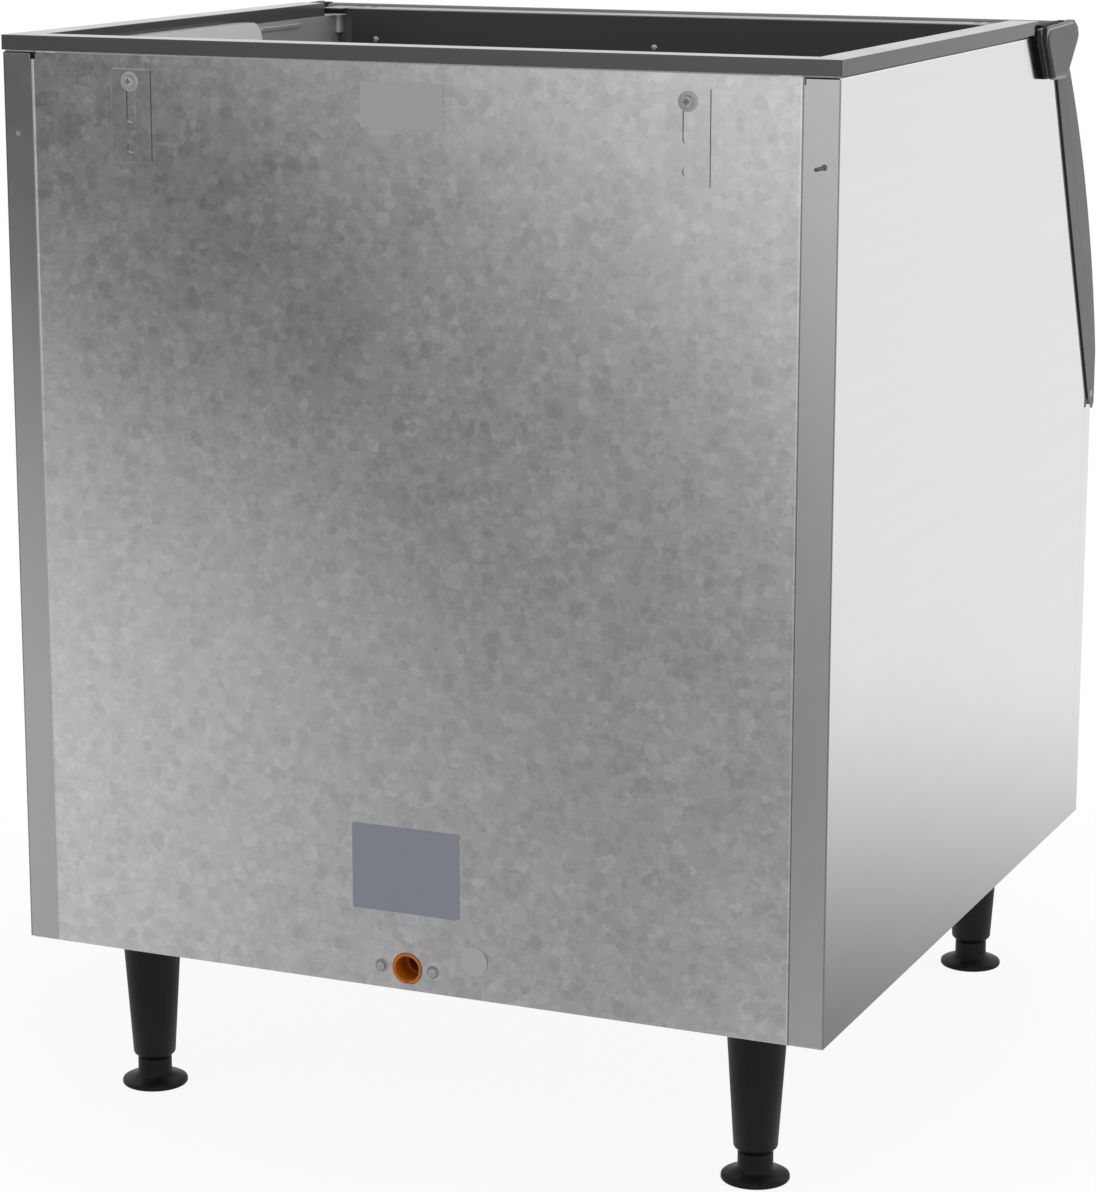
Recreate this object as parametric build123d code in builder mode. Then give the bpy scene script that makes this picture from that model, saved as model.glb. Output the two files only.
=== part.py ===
from build123d import *
from math import acos, atan2, cos, degrees, radians, sin, sqrt
import os

# Ice storage bin. Millimetres. X runs across the bin, +Y points to its back and +Z up.
# The origin lies on the floor, under the middle of the whole bin.
# Depths are measured forward from the plane of the two rear posts, and heights up from
# the underside of the cabinet, so a side profile reads as (depth, height).

# Cabinet
cabinet_width = 762.0
cabinet_depth = 787.4
body_height = 812.8
leg_height = 152.4
panel_sheet = 1.2
rear_sheet = 1.0
base_sheet = 1.5
fit_gap = 0.2
seam_gap = 0.4
overrun = 12.0

# Slanted front: its lower corner, its angle from the vertical and the hinge above it
front_return = 22.9
slope_foot_height = 432.0
slope_angle = 24.92
hinge_rise = 379.35
hinge_stand_off = 20.9
hinge_relief_radius = 27.0

# Side panels
post_gap = 1.2
post_width = 29.25
post_shift = 1.1
rear_panel_recess = 4.0
rear_panel_drop = 2.0
bottom_flange_width = 20.0
post_notch_width = 1.5
post_notch_height = 5.0
corner_seal_reach = 379.4
corner_seal_thickness = 2.2
post_hole_x = 368.2
post_hole_height = 728.5
pin_radius = 1.7
pin_hole_radius = 1.8
pin_seat_radius = 2.5
pin_reach = 19.5
pin_collar_radius = 4.0
pin_collar_thickness = 1.6
pin_tip_chamfer = 0.5

# Lower front panel
front_panel_top = 421.0
front_flange_depth = 21.4

# Top rim and the liner's flange under it
rim_height = 12.9
rim_width = 28.0
rim_overhang = 0.8
rim_front_depth = 556.0
rim_edge_radius = 0.6
flange_sheet = 1.4
flange_inset = 1.4

# Liner
liner_half_width = 350.0
liner_wall = 3.5
liner_rear_depth = 33.0
liner_front_depth = 752.0
liner_floor_height = 60.0
liner_corner_radius = 25.0
pad_thickness = 12.0
pad_front_depth = 394.0
pad_low_height = 600.0
pad_top_height = 803.5
pad_corner_radius = 20.0
ledge_near_depth = 409.0
ledge_far_depth = 491.0
ledge_low_height = 791.0
ledge_top_height = 796.0
ledge_reach = 5.0
lip_reach = 5.0
lip_depth = 8.0
lip_low_height = 783.0

# Header across the top of the slanted front
header_rear_depth = 580.0
header_front_depth = 594.5
header_top_height = 806.6
header_step_height = 757.0
header_foot_height = 722.6
header_sheet = 1.2
header_high_half_width = 331.0
header_end_height = 800.0
header_foam_gap = 1.8
screw_slot_x = 320.0
screw_slot_length = 20.0
screw_slot_width = 10.0
screw_slot_depth = 587.0
header_foam_top = 788.0

# Header baffle
baffle_half_width = 326.0
baffle_rear_depth = 560.0
baffle_wall = 2.0
baffle_screw_x = 298.8
baffle_screw_height = 777.7

# Corner plates
corner_plate_inner_x = 334.0
corner_plate_outer_x = 357.0
corner_plate_sheet = 1.2
corner_tab_inner_x = 306.0
corner_post_width = 7.0

# Door bumpers
bumper_radius = 4.0
bumper_reach = 4.6
bumper_x = 240.0
bumper_height = 802.0
bumper_stem_radius = 2.0

# Door frame and gasket
frame_thickness = 8.0
frame_top_gap = 26.0
frame_top_bar = 30.0
frame_low_bar_rise = 30.0
gasket_gap = 0.4
gasket_top_gap = 30.0
gasket_bar = 16.0
gasket_side_inset = 4.0
gasket_foot_rise = 9.0

# Door
door_stand_off = 15.9
door_half_width = 379.9
door_wall = 3.0
tray_depth = 22.4
knuckle_radius = 24.5
knuckle_blend_angle = 139.05
door_face_radius = 729.7
door_front_depth = 805.0
door_inner_drop = 12.8
door_foot_height = 414.6
door_foot_depth = 799.0
door_foot_bevel = 6.0
door_foot_radius = 3.0
grip_height = 440.8
groove_radius = 9.0
groove_depth = 797.0
groove_height = 408.0
groove_half_length = 150.0
door_screw_depth = 792.5
door_screw_height = 431.0

# Hinges
ear_gap = 5.0
ear_sheet = 4.0
cap_outer_reach = 16.0
cap_wall = 2.0
cap_bevel = 1.8
cap_edge_radius = 3.0
hinge_pin_radius = 4.0
hinge_pin_reach = 14.0
pin_shoulder_radius = 7.0
pin_head_radius = 6.0
pin_head_height = 2.2
bush_radius = 7.0
bush_flange_radius = 10.0
bush_flange_thickness = 1.5
bush_length = 15.0
bush_play = 0.1
bush_boss_radius = 11.0
hinge_bolt_places = ((552.0, 786.5), (573.0, 769.5))
hinge_bolt_radius = 3.0
hinge_bolt_head_radius = 5.0
hinge_bolt_head_height = 3.0
hinge_bolt_tail = 2.5
hinge_pad_inset = 0.4
hinge_pad_bore_radius = 10.8
nut_plate_thickness = 3.0
nut_plate_margin = 8.0

# Fasteners: clearance round a shank
shank_gap = 0.1
small_shank_radius = 1.9
small_head_radius = 3.5
small_head_height = 1.8
cross_width = 1.0
cross_depth = 1.0

# Retaining brackets on the back
bracket_half_spacing = 254.65
bracket_shift = 1.85
bracket_width = 37.7
bracket_low_height = 707.8
bracket_top_height = 786.8
bracket_thickness = 2.7
bracket_corner_radius = 1.5
slot_half_width = 4.65
slot_low_height = 741.6
bracket_screw_height = 776.5
bracket_hole_height = 720.5
bracket_hole_radius = 4.65
bracket_shank_radius = 3.0
bracket_washer_radius = 8.4
bracket_washer_thickness = 1.6
bracket_head_radius = 4.8
bracket_head_height = 2.9
bracket_slide_gap = 0.1
bracket_screw_length = 20.0

# Blank plates on the back
plate_thickness = 0.6
upper_plate_width = 76.4
upper_plate_height = 38.4
upper_plate_x = 1.5
upper_plate_centre_height = 764.1
lower_plate_width = 102.0
lower_plate_height = 76.6
lower_plate_x = 3.6
lower_plate_centre_height = 106.2
plate_corner_radius = 2.0

# Drain
drain_x = 2.7
drain_height = 17.8
drain_radius = 13.8
drain_bore_radius = 11.3
drain_bore_length = 22.0
drain_pipe_bore_radius = 8.5
drain_face_depth = 3.4
drain_panel_gap = 0.6
drain_turn_depth = 85.0
drain_cup_radius = 15.0
drain_cup_drop = 13.8
drain_cup_bore_radius = 10.0
drain_cup_bore_drop = 9.2
drain_neck_radius = 19.0
drain_neck_thickness = 3.0
drain_tab_width = 4.0
drain_tab_depth = 3.0
drain_flange_width = 66.0
drain_flange_height = 26.0
drain_flange_thickness = 4.0
drain_bolt_x = 24.75
drain_bolt_radius = 2.5
drain_bolt_length = 14.0
drain_washer_radius = 5.8
drain_washer_thickness = 1.0
drain_bolt_head_radius = 4.0
drain_bolt_head_height = 2.6
strainer_radius = 26.0
strainer_thickness = 2.0
strainer_neck_radius = 9.7
strainer_neck_length = 12.0
strainer_hole_radius = 1.8
strainer_ring_radius = 17.0
strainer_hole_count = 12
strainer_inner_count = 6

# Round plug beside the drain
plug_x = -61.0
plug_height = 32.4
plug_radius = 13.0
plug_thickness = 1.0
plug_stem_radius = 9.0
plug_stem_length = 6.0

# Legs and levelling feet
leg_x = 296.67
leg_rear_depth = 72.13
leg_front_depth = 707.64
leg_top_radius = 27.3
leg_low_radius = 19.3
leg_low_drop = 122.0
leg_end_radius = 16.0
leg_end_drop = 126.5
leg_stud_radius = 6.0
leg_stud_engagement = 20.0
socket_plate_width = 78.0
socket_plate_sheet = 1.2
socket_radius = 11.0
socket_height = 32.0
socket_roof = 4.0
foot_radius = 30.05
foot_rim_height = 4.1
foot_edge_radius = 0.8
foot_cone_radius = 29.3
foot_cone_height = 7.9
foot_stem_radius = 15.5
foot_neck_radius = 2.0
foot_gap = 0.3
foot_stud_radius = 5.0
foot_stud_seat = 12.0
foot_stud_length = 54.0
stud_bore_gap = 0.25

# Worked out from the sizes above
half_width = cabinet_width / 2
inner_half_width = half_width - panel_sheet
body_top = leg_height + body_height
rear_y = (door_front_depth - pin_reach) / 2
rim_low_height = body_height - rim_height
flange_low_height = rim_low_height - flange_sheet
post_top_height = flange_low_height - post_gap
side_top_height = flange_low_height - fit_gap / 2
seam_depth = cabinet_depth - front_return
rear_inner_depth = rear_panel_recess + rear_sheet
base_top_height = panel_sheet + fit_gap + base_sheet
cap_outer_x = half_width + cap_outer_reach
ear_inner_x = half_width + ear_gap
ear_outer_x = ear_inner_x + ear_sheet
leg_places = {
    "front_left": (-leg_x, leg_front_depth),
    "front_right": (leg_x, leg_front_depth),
    "rear_left": (-leg_x, leg_rear_depth),
    "rear_right": (leg_x, leg_rear_depth),
}
sides = {"left": -1, "right": 1}
bracket_places = {
    "left": bracket_shift - bracket_half_spacing,
    "right": bracket_shift + bracket_half_spacing,
}


def yz(depth, height):
    """A side profile's point in (Y, Z), from its depth and its height."""
    return (rear_y - depth, leg_height + height)


def slope_point(rise, stand_off):
    """(Y, Z) of a point up the slanted front by rise, and in front of it by stand_off."""
    foot_y, foot_z = yz(seam_depth, slope_foot_height)
    lean = radians(slope_angle)
    return (
        foot_y + rise * sin(lean) - stand_off * cos(lean),
        foot_z + rise * cos(lean) + stand_off * sin(lean),
    )


def slope_depth(height):
    """Depth of the slanted front at a height."""
    lean = radians(slope_angle)
    return seam_depth - (height - slope_foot_height) * sin(lean) / cos(lean)


def around(centre, radius, angle):
    """A point on a circle, its angle in degrees."""
    return (
        centre[0] + radius * cos(radians(angle)),
        centre[1] + radius * sin(radians(angle)),
    )


hinge_y, hinge_z = slope_point(hinge_rise, hinge_stand_off)


def profile(points, x=0.0):
    """The face inside a closed outline of (Y, Z) points, at one width."""
    with BuildSketch(Plane.YZ.offset(x)) as outline:
        with BuildLine():
            Polyline(*points, close=True)
        make_face()
    return outline.sketch


def block(widths, depths, heights, mode=Mode.ADD):
    """A rectangular block between two widths, two depths and two heights."""
    middle = (
        (widths[0] + widths[1]) / 2,
        rear_y - (depths[0] + depths[1]) / 2,
        leg_height + (heights[0] + heights[1]) / 2,
    )
    with Locations(middle):
        Box(
            abs(widths[1] - widths[0]),
            abs(depths[1] - depths[0]),
            abs(heights[1] - heights[0]),
            mode=mode,
        )


def rod_x(radius, widths, y, z, mode=Mode.ADD):
    """A round bar along X, between two widths."""
    with Locations(((widths[0] + widths[1]) / 2, y, z)):
        Cylinder(radius, abs(widths[1] - widths[0]), rotation=(0, 90, 0), mode=mode)


def rod_y(radius, depths, x, height, mode=Mode.ADD):
    """A round bar along Y, between two depths."""
    middle = rear_y - (depths[0] + depths[1]) / 2
    with Locations((x, middle, leg_height + height)):
        Cylinder(radius, abs(depths[1] - depths[0]), rotation=(90, 0, 0), mode=mode)


def rod_z(radius, heights, x, depth, mode=Mode.ADD):
    """A round bar along Z, between two heights."""
    middle = leg_height + (heights[0] + heights[1]) / 2
    with Locations((x, rear_y - depth, middle)):
        Cylinder(radius, abs(heights[1] - heights[0]), mode=mode)


def cross_y(head_radius, depth, x, height):
    """A cross recess cut into a screw head that faces the back."""
    arm = head_radius * 2 - cross_width * 2
    for arm_x, arm_z in ((arm, cross_width), (cross_width, arm)):
        with Locations((x, rear_y - depth, leg_height + height)):
            Box(arm_x, cross_depth * 2, arm_z, mode=Mode.SUBTRACT)


def keep(piece, label):
    """Names a finished piece and writes its file."""
    piece.part.label = label
    export_step(piece.part, f"parts/{label}.step")


os.makedirs("parts", exist_ok=True)

# Side panels: outer sheet, rear post with its inner lip, and bottom flange
side_outline = (
    yz(0, 0),
    yz(0, side_top_height),
    yz(slope_depth(side_top_height), side_top_height),
    slope_point(0, 0),
    yz(seam_depth - seam_gap / 2, slope_foot_height),
    yz(seam_depth - seam_gap / 2, 0),
)
for name, side in sides.items():
    outer_x = side * half_width
    inner_x = side * inner_half_width
    lip_x = side * (half_width - post_width) + post_shift
    with BuildPart() as side_panel:
        extrude(profile(side_outline, inner_x), amount=side * panel_sheet)
        block((lip_x, inner_x), (0, panel_sheet), (0, post_top_height))
        block(
            (lip_x, lip_x + side * panel_sheet),
            (panel_sheet, rear_panel_recess - fit_gap / 2),
            (0, post_top_height),
        )
        block(
            (side * (half_width - bottom_flange_width), inner_x),
            (panel_sheet, seam_depth - front_flange_depth),
            (0, panel_sheet),
        )
        block(
            (side * (half_width - bottom_flange_width - overrun), inner_x),
            (rear_panel_recess - fit_gap / 2, rear_inner_depth + fit_gap),
            (-overrun, panel_sheet + overrun),
            Mode.SUBTRACT,
        )
        block(
            (lip_x, lip_x + side * post_notch_width),
            (-overrun, rear_panel_recess),
            (post_top_height - post_notch_height, post_top_height + overrun),
            Mode.SUBTRACT,
        )
        rod_x(
            hinge_relief_radius,
            (inner_x - side * overrun, outer_x + side * overrun),
            hinge_y,
            hinge_z,
            Mode.SUBTRACT,
        )
        rod_y(
            pin_hole_radius if side > 0 else pin_seat_radius + shank_gap,
            (-overrun, rear_panel_recess / 2),
            side * post_hole_x,
            post_hole_height,
            Mode.SUBTRACT,
        )
        for bolt_depth, bolt_height in hinge_bolt_places:
            bolt_y, bolt_z = yz(bolt_depth, bolt_height)
            rod_x(
                hinge_bolt_radius + shank_gap,
                (inner_x - side * overrun, outer_x + side * overrun),
                bolt_y,
                bolt_z,
                Mode.SUBTRACT,
            )
    keep(side_panel, f"side_panel_{name}")

# Pin that stands out of the left rear post, held by a collar behind the post's sheet
with BuildPart() as locating_pin:
    rod_y(pin_radius, (panel_sheet, -pin_reach), -post_hole_x, post_hole_height)
    chamfer(locating_pin.edges().sort_by(Axis.Y)[-1], pin_tip_chamfer)
    rod_y(pin_seat_radius, (panel_sheet, 0), -post_hole_x, post_hole_height)
    rod_y(
        pin_collar_radius,
        (panel_sheet, panel_sheet + pin_collar_thickness),
        -post_hole_x,
        post_hole_height,
    )
keep(locating_pin, "locating_pin")

# Rear panel, behind the posts, with holes for the drain, its bolts, the plug and the screws
with BuildPart() as rear_panel:
    block(
        (-inner_half_width + fit_gap, inner_half_width - fit_gap),
        (rear_panel_recess, rear_inner_depth),
        (-rear_panel_drop, flange_low_height),
    )
    through = (0, rear_inner_depth + overrun)
    rod_y(drain_radius + drain_panel_gap, through, drain_x, drain_height, Mode.SUBTRACT)
    rod_y(plug_stem_radius + fit_gap, through, plug_x, plug_height, Mode.SUBTRACT)
    for side in sides.values():
        rod_y(
            drain_bolt_radius + shank_gap,
            through,
            drain_x + side * drain_bolt_x,
            drain_height,
            Mode.SUBTRACT,
        )
    for screw_x in bracket_places.values():
        rod_y(
            bracket_shank_radius + shank_gap,
            through,
            screw_x,
            bracket_screw_height,
            Mode.SUBTRACT,
        )
keep(rear_panel, "rear_panel")

# Lower front panel: face, side returns, top and bottom flanges
with BuildPart() as front_panel:
    block(
        (-half_width, half_width),
        (cabinet_depth - panel_sheet, cabinet_depth),
        (0, front_panel_top),
    )
    for side in sides.values():
        block(
            (side * inner_half_width, side * half_width),
            (seam_depth + seam_gap / 2, cabinet_depth - panel_sheet),
            (0, front_panel_top),
        )
    for low in (0, front_panel_top - panel_sheet):
        block(
            (-inner_half_width, inner_half_width),
            (cabinet_depth - front_flange_depth, cabinet_depth - panel_sheet),
            (low, low + panel_sheet),
        )
keep(front_panel, "front_panel")

# Soft seals behind the top of each post, seen in its notch and over its edge
with BuildPart() as corner_seals:
    for side in sides.values():
        seal_x = side * (half_width - post_width + fit_gap) + post_shift
        block(
            (seal_x, side * corner_seal_reach),
            (rear_panel_recess - fit_gap - corner_seal_thickness, rear_panel_recess - fit_gap),
            (post_top_height - post_notch_height + fit_gap, flange_low_height - fit_gap / 2),
        )
keep(corner_seals, "corner_seals")

# Base pan over the bottom flanges, with a hole for each leg socket
with BuildPart() as base_pan:
    block(
        (-inner_half_width + fit_gap, inner_half_width - fit_gap),
        (rear_inner_depth + fit_gap, cabinet_depth - panel_sheet - fit_gap),
        (panel_sheet + fit_gap, base_top_height),
    )
    for place_x, place_depth in leg_places.values():
        rod_z(
            socket_radius + fit_gap,
            (0, base_top_height + overrun),
            place_x,
            place_depth,
            Mode.SUBTRACT,
        )
keep(base_pan, "base_pan")


def tub(wall, top_height, mode=Mode.ADD):
    """The liner's tub, grown outwards by a wall, from its floor to a height."""
    floor = liner_floor_height - wall
    width = (liner_half_width + wall) * 2
    depth = liner_front_depth - liner_rear_depth + wall * 2
    middle_y = rear_y - (liner_front_depth + liner_rear_depth) / 2
    with BuildSketch(Plane.XY.offset(leg_height + floor)) as foot:
        with Locations((0, middle_y)):
            RectangleRounded(width, depth, liner_corner_radius + wall)
    with BuildPart() as shape:
        extrude(foot.sketch, amount=top_height - floor)
        fillet(shape.faces().sort_by(Axis.Z)[0].edges(), liner_corner_radius / 2 + wall)
    return shape.part


# Everything in front of the slanted plane and of the header's rear face
front_cut = profile(
    (
        yz(header_rear_depth - fit_gap, body_height + overrun),
        yz(header_rear_depth - fit_gap, header_foot_height - fit_gap),
        slope_point(
            (header_foot_height - fit_gap - slope_foot_height) / cos(radians(slope_angle)),
            -fit_gap,
        ),
        slope_point(-overrun, -fit_gap),
        yz(cabinet_depth + overrun, slope_foot_height - overrun),
        yz(cabinet_depth + overrun, body_height + overrun),
    ),
    -cabinet_width,
)

# Raised pads on the liner's side walls
with BuildPart() as side_pads:
    for side in sides.values():
        wall_x = side * (liner_half_width + liner_wall / 2)
        with BuildSketch(Plane.YZ.offset(wall_x)) as pad_side:
            with BuildLine():
                Polyline(
                    yz(0, pad_low_height),
                    yz(0, pad_top_height),
                    yz(pad_front_depth, pad_top_height),
                    yz(pad_front_depth, pad_low_height),
                    close=True,
                )
            make_face()
            fillet(pad_side.vertices().group_by(Axis.X)[0].sort_by(Axis.Y)[-1], pad_corner_radius)
        extrude(pad_side.sketch, amount=-side * (pad_thickness + liner_wall / 2))
    add(tub(liner_wall / 2, body_height), mode=Mode.INTERSECT)

# Liner: tub, top flange, raised side pads, ledges and front lips
with BuildPart() as liner:
    add(tub(liner_wall, flange_low_height + flange_sheet))
    block(
        (-inner_half_width + fit_gap, inner_half_width - fit_gap),
        (flange_inset, header_rear_depth),
        (flange_low_height, rim_low_height),
    )
    add(tub(0, body_height + overrun), mode=Mode.SUBTRACT)
    add(side_pads.part)
    for side in sides.values():
        wall_x = side * (liner_half_width + liner_wall / 2)
        block(
            (side * (liner_half_width - lip_reach), wall_x),
            (header_rear_depth - lip_depth, header_rear_depth - fit_gap),
            (lip_low_height, rim_low_height),
        )
        with BuildSketch(Plane.XZ.offset(ledge_near_depth - rear_y)) as ledge_end:
            with BuildLine():
                Polyline(
                    (side * liner_half_width, leg_height + ledge_low_height),
                    (side * (liner_half_width - ledge_reach), leg_height + ledge_top_height),
                    (wall_x, leg_height + ledge_top_height),
                    (wall_x, leg_height + ledge_low_height),
                    close=True,
                )
            make_face()
        extrude(ledge_end.sketch, amount=ledge_far_depth - ledge_near_depth)
    extrude(front_cut, amount=cabinet_width * 2, mode=Mode.SUBTRACT)
    rod_z(
        strainer_neck_radius + fit_gap,
        (0, liner_floor_height + overrun),
        0,
        drain_turn_depth,
        Mode.SUBTRACT,
    )
keep(liner, "liner")

# Insulation poured between the liner and the panels
foam_gap = fit_gap / 2
with BuildPart() as insulation:
    extrude(
        profile(
            (
                yz(rear_inner_depth + foam_gap, base_top_height + foam_gap),
                yz(rear_inner_depth + foam_gap, flange_low_height - foam_gap),
                yz(cabinet_depth, flange_low_height - foam_gap),
                yz(cabinet_depth, slope_foot_height),
                yz(seam_depth - fit_gap, slope_foot_height),
                yz(seam_depth - fit_gap, front_panel_top - panel_sheet - foam_gap),
                yz(cabinet_depth - panel_sheet - foam_gap, front_panel_top - panel_sheet - foam_gap),
                yz(cabinet_depth - panel_sheet - foam_gap, base_top_height + foam_gap),
            ),
            -inner_half_width + foam_gap,
        ),
        amount=(inner_half_width - foam_gap) * 2,
    )
    extrude(front_cut, amount=cabinet_width * 2, mode=Mode.SUBTRACT)
    add(tub(liner_wall + foam_gap, body_height + overrun), mode=Mode.SUBTRACT)
    for side in sides.values():
        block(
            (side * (half_width - post_width / 3), side * (half_width + overrun)),
            (0, cabinet_depth),
            (post_top_height - foam_gap, body_height),
            Mode.SUBTRACT,
        )
        rod_x(
            hinge_relief_radius,
            (side * liner_half_width, side * (half_width + overrun)),
            hinge_y,
            hinge_z,
            Mode.SUBTRACT,
        )
        plate_x = side * (inner_half_width - nut_plate_thickness - fit_gap * 2)
        block(
            (plate_x, side * (half_width + overrun)),
            (
                hinge_bolt_places[0][0] - nut_plate_margin - fit_gap,
                hinge_bolt_places[1][0] + nut_plate_margin + fit_gap,
            ),
            (
                hinge_bolt_places[1][1] - nut_plate_margin - fit_gap,
                hinge_bolt_places[0][1] + nut_plate_margin + fit_gap,
            ),
            Mode.SUBTRACT,
        )
        for bolt_depth, bolt_height in hinge_bolt_places:
            bolt_y, bolt_z = yz(bolt_depth, bolt_height)
            rod_x(
                hinge_bolt_radius + fit_gap,
                (plate_x - side * hinge_bolt_tail * 2, plate_x + side * overrun),
                bolt_y,
                bolt_z,
                Mode.SUBTRACT,
            )
    for screw_x in bracket_places.values():
        rod_y(
            bracket_shank_radius + fit_gap,
            (0, bracket_screw_length + overrun / 2),
            screw_x,
            bracket_screw_height,
            Mode.SUBTRACT,
        )
    for place_x, place_depth in leg_places.values():
        rod_z(
            socket_radius + fit_gap,
            (0, socket_height + fit_gap),
            place_x,
            place_depth,
            Mode.SUBTRACT,
        )
    rod_y(
        drain_radius + fit_gap,
        (0, drain_turn_depth),
        drain_x,
        drain_height,
        Mode.SUBTRACT,
    )
    rod_z(
        drain_cup_radius + fit_gap,
        (0, liner_floor_height),
        0,
        drain_turn_depth,
        Mode.SUBTRACT,
    )
    rod_z(
        drain_neck_radius + fit_gap,
        (
            liner_floor_height - liner_wall - drain_neck_thickness - fit_gap * 2,
            liner_floor_height,
        ),
        0,
        drain_turn_depth,
        Mode.SUBTRACT,
    )
    block(
        (
            drain_x - drain_flange_width / 2 - fit_gap,
            drain_x + drain_flange_width / 2 + fit_gap,
        ),
        (0, rear_inner_depth + drain_flange_thickness + fit_gap * 2),
        (
            drain_height - drain_flange_height / 2 - fit_gap,
            drain_height + drain_flange_height / 2 + fit_gap,
        ),
        Mode.SUBTRACT,
    )
    for side in sides.values():
        rod_y(
            drain_bolt_radius + fit_gap,
            (0, drain_bolt_length + overrun),
            drain_x + side * drain_bolt_x,
            drain_height,
            Mode.SUBTRACT,
        )
    rod_y(
        plug_stem_radius + fit_gap,
        (0, rear_panel_recess + plug_stem_length + fit_gap),
        plug_x,
        plug_height,
        Mode.SUBTRACT,
    )
keep(insulation, "insulation")

# Top rim: a U of moulded strip along the back and both sides
with BuildPart() as top_rim:
    rim_half_width = half_width + rim_overhang
    block(
        (-rim_half_width, rim_half_width),
        (-rim_overhang, rim_front_depth),
        (rim_low_height, body_height),
    )
    block(
        (-rim_half_width + rim_width, rim_half_width - rim_width),
        (rim_width - rim_overhang, rim_front_depth + overrun),
        (rim_low_height - overrun, body_height + overrun),
        Mode.SUBTRACT,
    )
    fillet(top_rim.faces().sort_by(Axis.Z)[-1].edges(), rim_edge_radius)
keep(top_rim, "top_rim")


def header_outline(top_height):
    """The header's side outline, stepped back below its top to clear the door's knuckle."""
    step_rise = (header_step_height - slope_foot_height) / cos(radians(slope_angle))
    foot_rise = (header_foot_height - slope_foot_height) / cos(radians(slope_angle))
    return (
        yz(header_rear_depth, header_foot_height),
        yz(header_rear_depth, top_height),
        yz(header_front_depth, top_height),
        yz(header_front_depth, header_step_height),
        slope_point(step_rise, 0),
        slope_point(foot_rise, 0),
    )


def hollow_profile(points, wall, x):
    """The outline's face drawn in by a wall thickness."""
    with BuildSketch(Plane.YZ.offset(x)) as inside:
        with BuildLine():
            Polyline(*points, close=True)
        make_face()
        offset(amount=-wall, kind=Kind.INTERSECTION, mode=Mode.REPLACE)
    return inside.sketch


# Header: a sheet box across the front, full height between its two lower ends
header_end_x = inner_half_width - fit_gap
roof_low_height = header_top_height + fit_gap
roof_height = roof_low_height + header_sheet
with BuildPart() as header:
    for half, top in (
        (header_high_half_width, roof_height),
        (header_end_x, header_end_height),
    ):
        extrude(profile(header_outline(top), -half), amount=half * 2)
    for half, top in (
        (header_high_half_width, roof_height),
        (header_end_x - header_sheet, header_end_height),
    ):
        hollow = hollow_profile(header_outline(top), header_sheet, -half)
        extrude(hollow, amount=half * 2, mode=Mode.SUBTRACT)
    block(
        (-header_high_half_width, header_high_half_width),
        (baffle_rear_depth, header_rear_depth + header_sheet),
        (roof_low_height, roof_height),
    )
    for x in (-baffle_screw_x, 0, baffle_screw_x):
        rod_y(
            small_shank_radius + shank_gap,
            (baffle_rear_depth, header_rear_depth + header_sheet + header_foam_gap / 2),
            x,
            baffle_screw_height,
            Mode.SUBTRACT,
        )
    for side in sides.values():
        with BuildSketch(Plane.XY.offset(leg_height + header_end_height + header_sheet)) as slot:
            with Locations((side * screw_slot_x, rear_y - screw_slot_depth)):
                SlotOverall(screw_slot_length, screw_slot_width)
        extrude(slot.sketch, amount=overrun, mode=Mode.SUBTRACT)
        rod_y(
            bumper_stem_radius + shank_gap,
            (header_front_depth - header_sheet - header_foam_gap / 2, header_front_depth + overrun),
            side * bumper_x,
            bumper_height,
            Mode.SUBTRACT,
        )
keep(header, "header")

# Insulation inside the header
with BuildPart() as header_insulation:
    inset = header_sheet + header_foam_gap
    half = header_end_x - header_sheet - fit_gap
    extrude(
        hollow_profile(header_outline(header_foam_top), inset, -half),
        amount=half * 2,
    )
    for side in sides.values():
        rod_x(
            hinge_relief_radius + header_sheet,
            (side * (half + overrun), side * liner_half_width),
            hinge_y,
            hinge_z,
            Mode.SUBTRACT,
        )
keep(header_insulation, "header_insulation")

# Baffle: a dark channel behind the header, screwed on from the back
with BuildPart() as header_baffle:
    block(
        (-baffle_half_width, baffle_half_width),
        (baffle_rear_depth, header_rear_depth),
        (header_foot_height, header_top_height),
    )
    block(
        (-baffle_half_width + baffle_wall, baffle_half_width - baffle_wall),
        (baffle_rear_depth + baffle_wall, header_rear_depth + overrun),
        (header_foot_height + baffle_wall, header_top_height - baffle_wall),
        Mode.SUBTRACT,
    )
    for x in (-baffle_screw_x, 0, baffle_screw_x):
        rod_y(
            small_shank_radius + shank_gap,
            (baffle_rear_depth - overrun, baffle_rear_depth + overrun / 2),
            x,
            baffle_screw_height,
            Mode.SUBTRACT,
        )
keep(header_baffle, "header_baffle")

with BuildPart() as baffle_screws:
    screw_end_depth = header_rear_depth + header_sheet + header_foam_gap / 2
    for x in (-baffle_screw_x, 0, baffle_screw_x):
        rod_y(
            small_shank_radius,
            (baffle_rear_depth, screw_end_depth),
            x,
            baffle_screw_height,
        )
        head_depth = baffle_rear_depth - small_head_height
        rod_y(small_head_radius, (head_depth, baffle_rear_depth), x, baffle_screw_height)
        cross_y(small_head_radius, head_depth, x, baffle_screw_height)
keep(baffle_screws, "baffle_screws")

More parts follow.
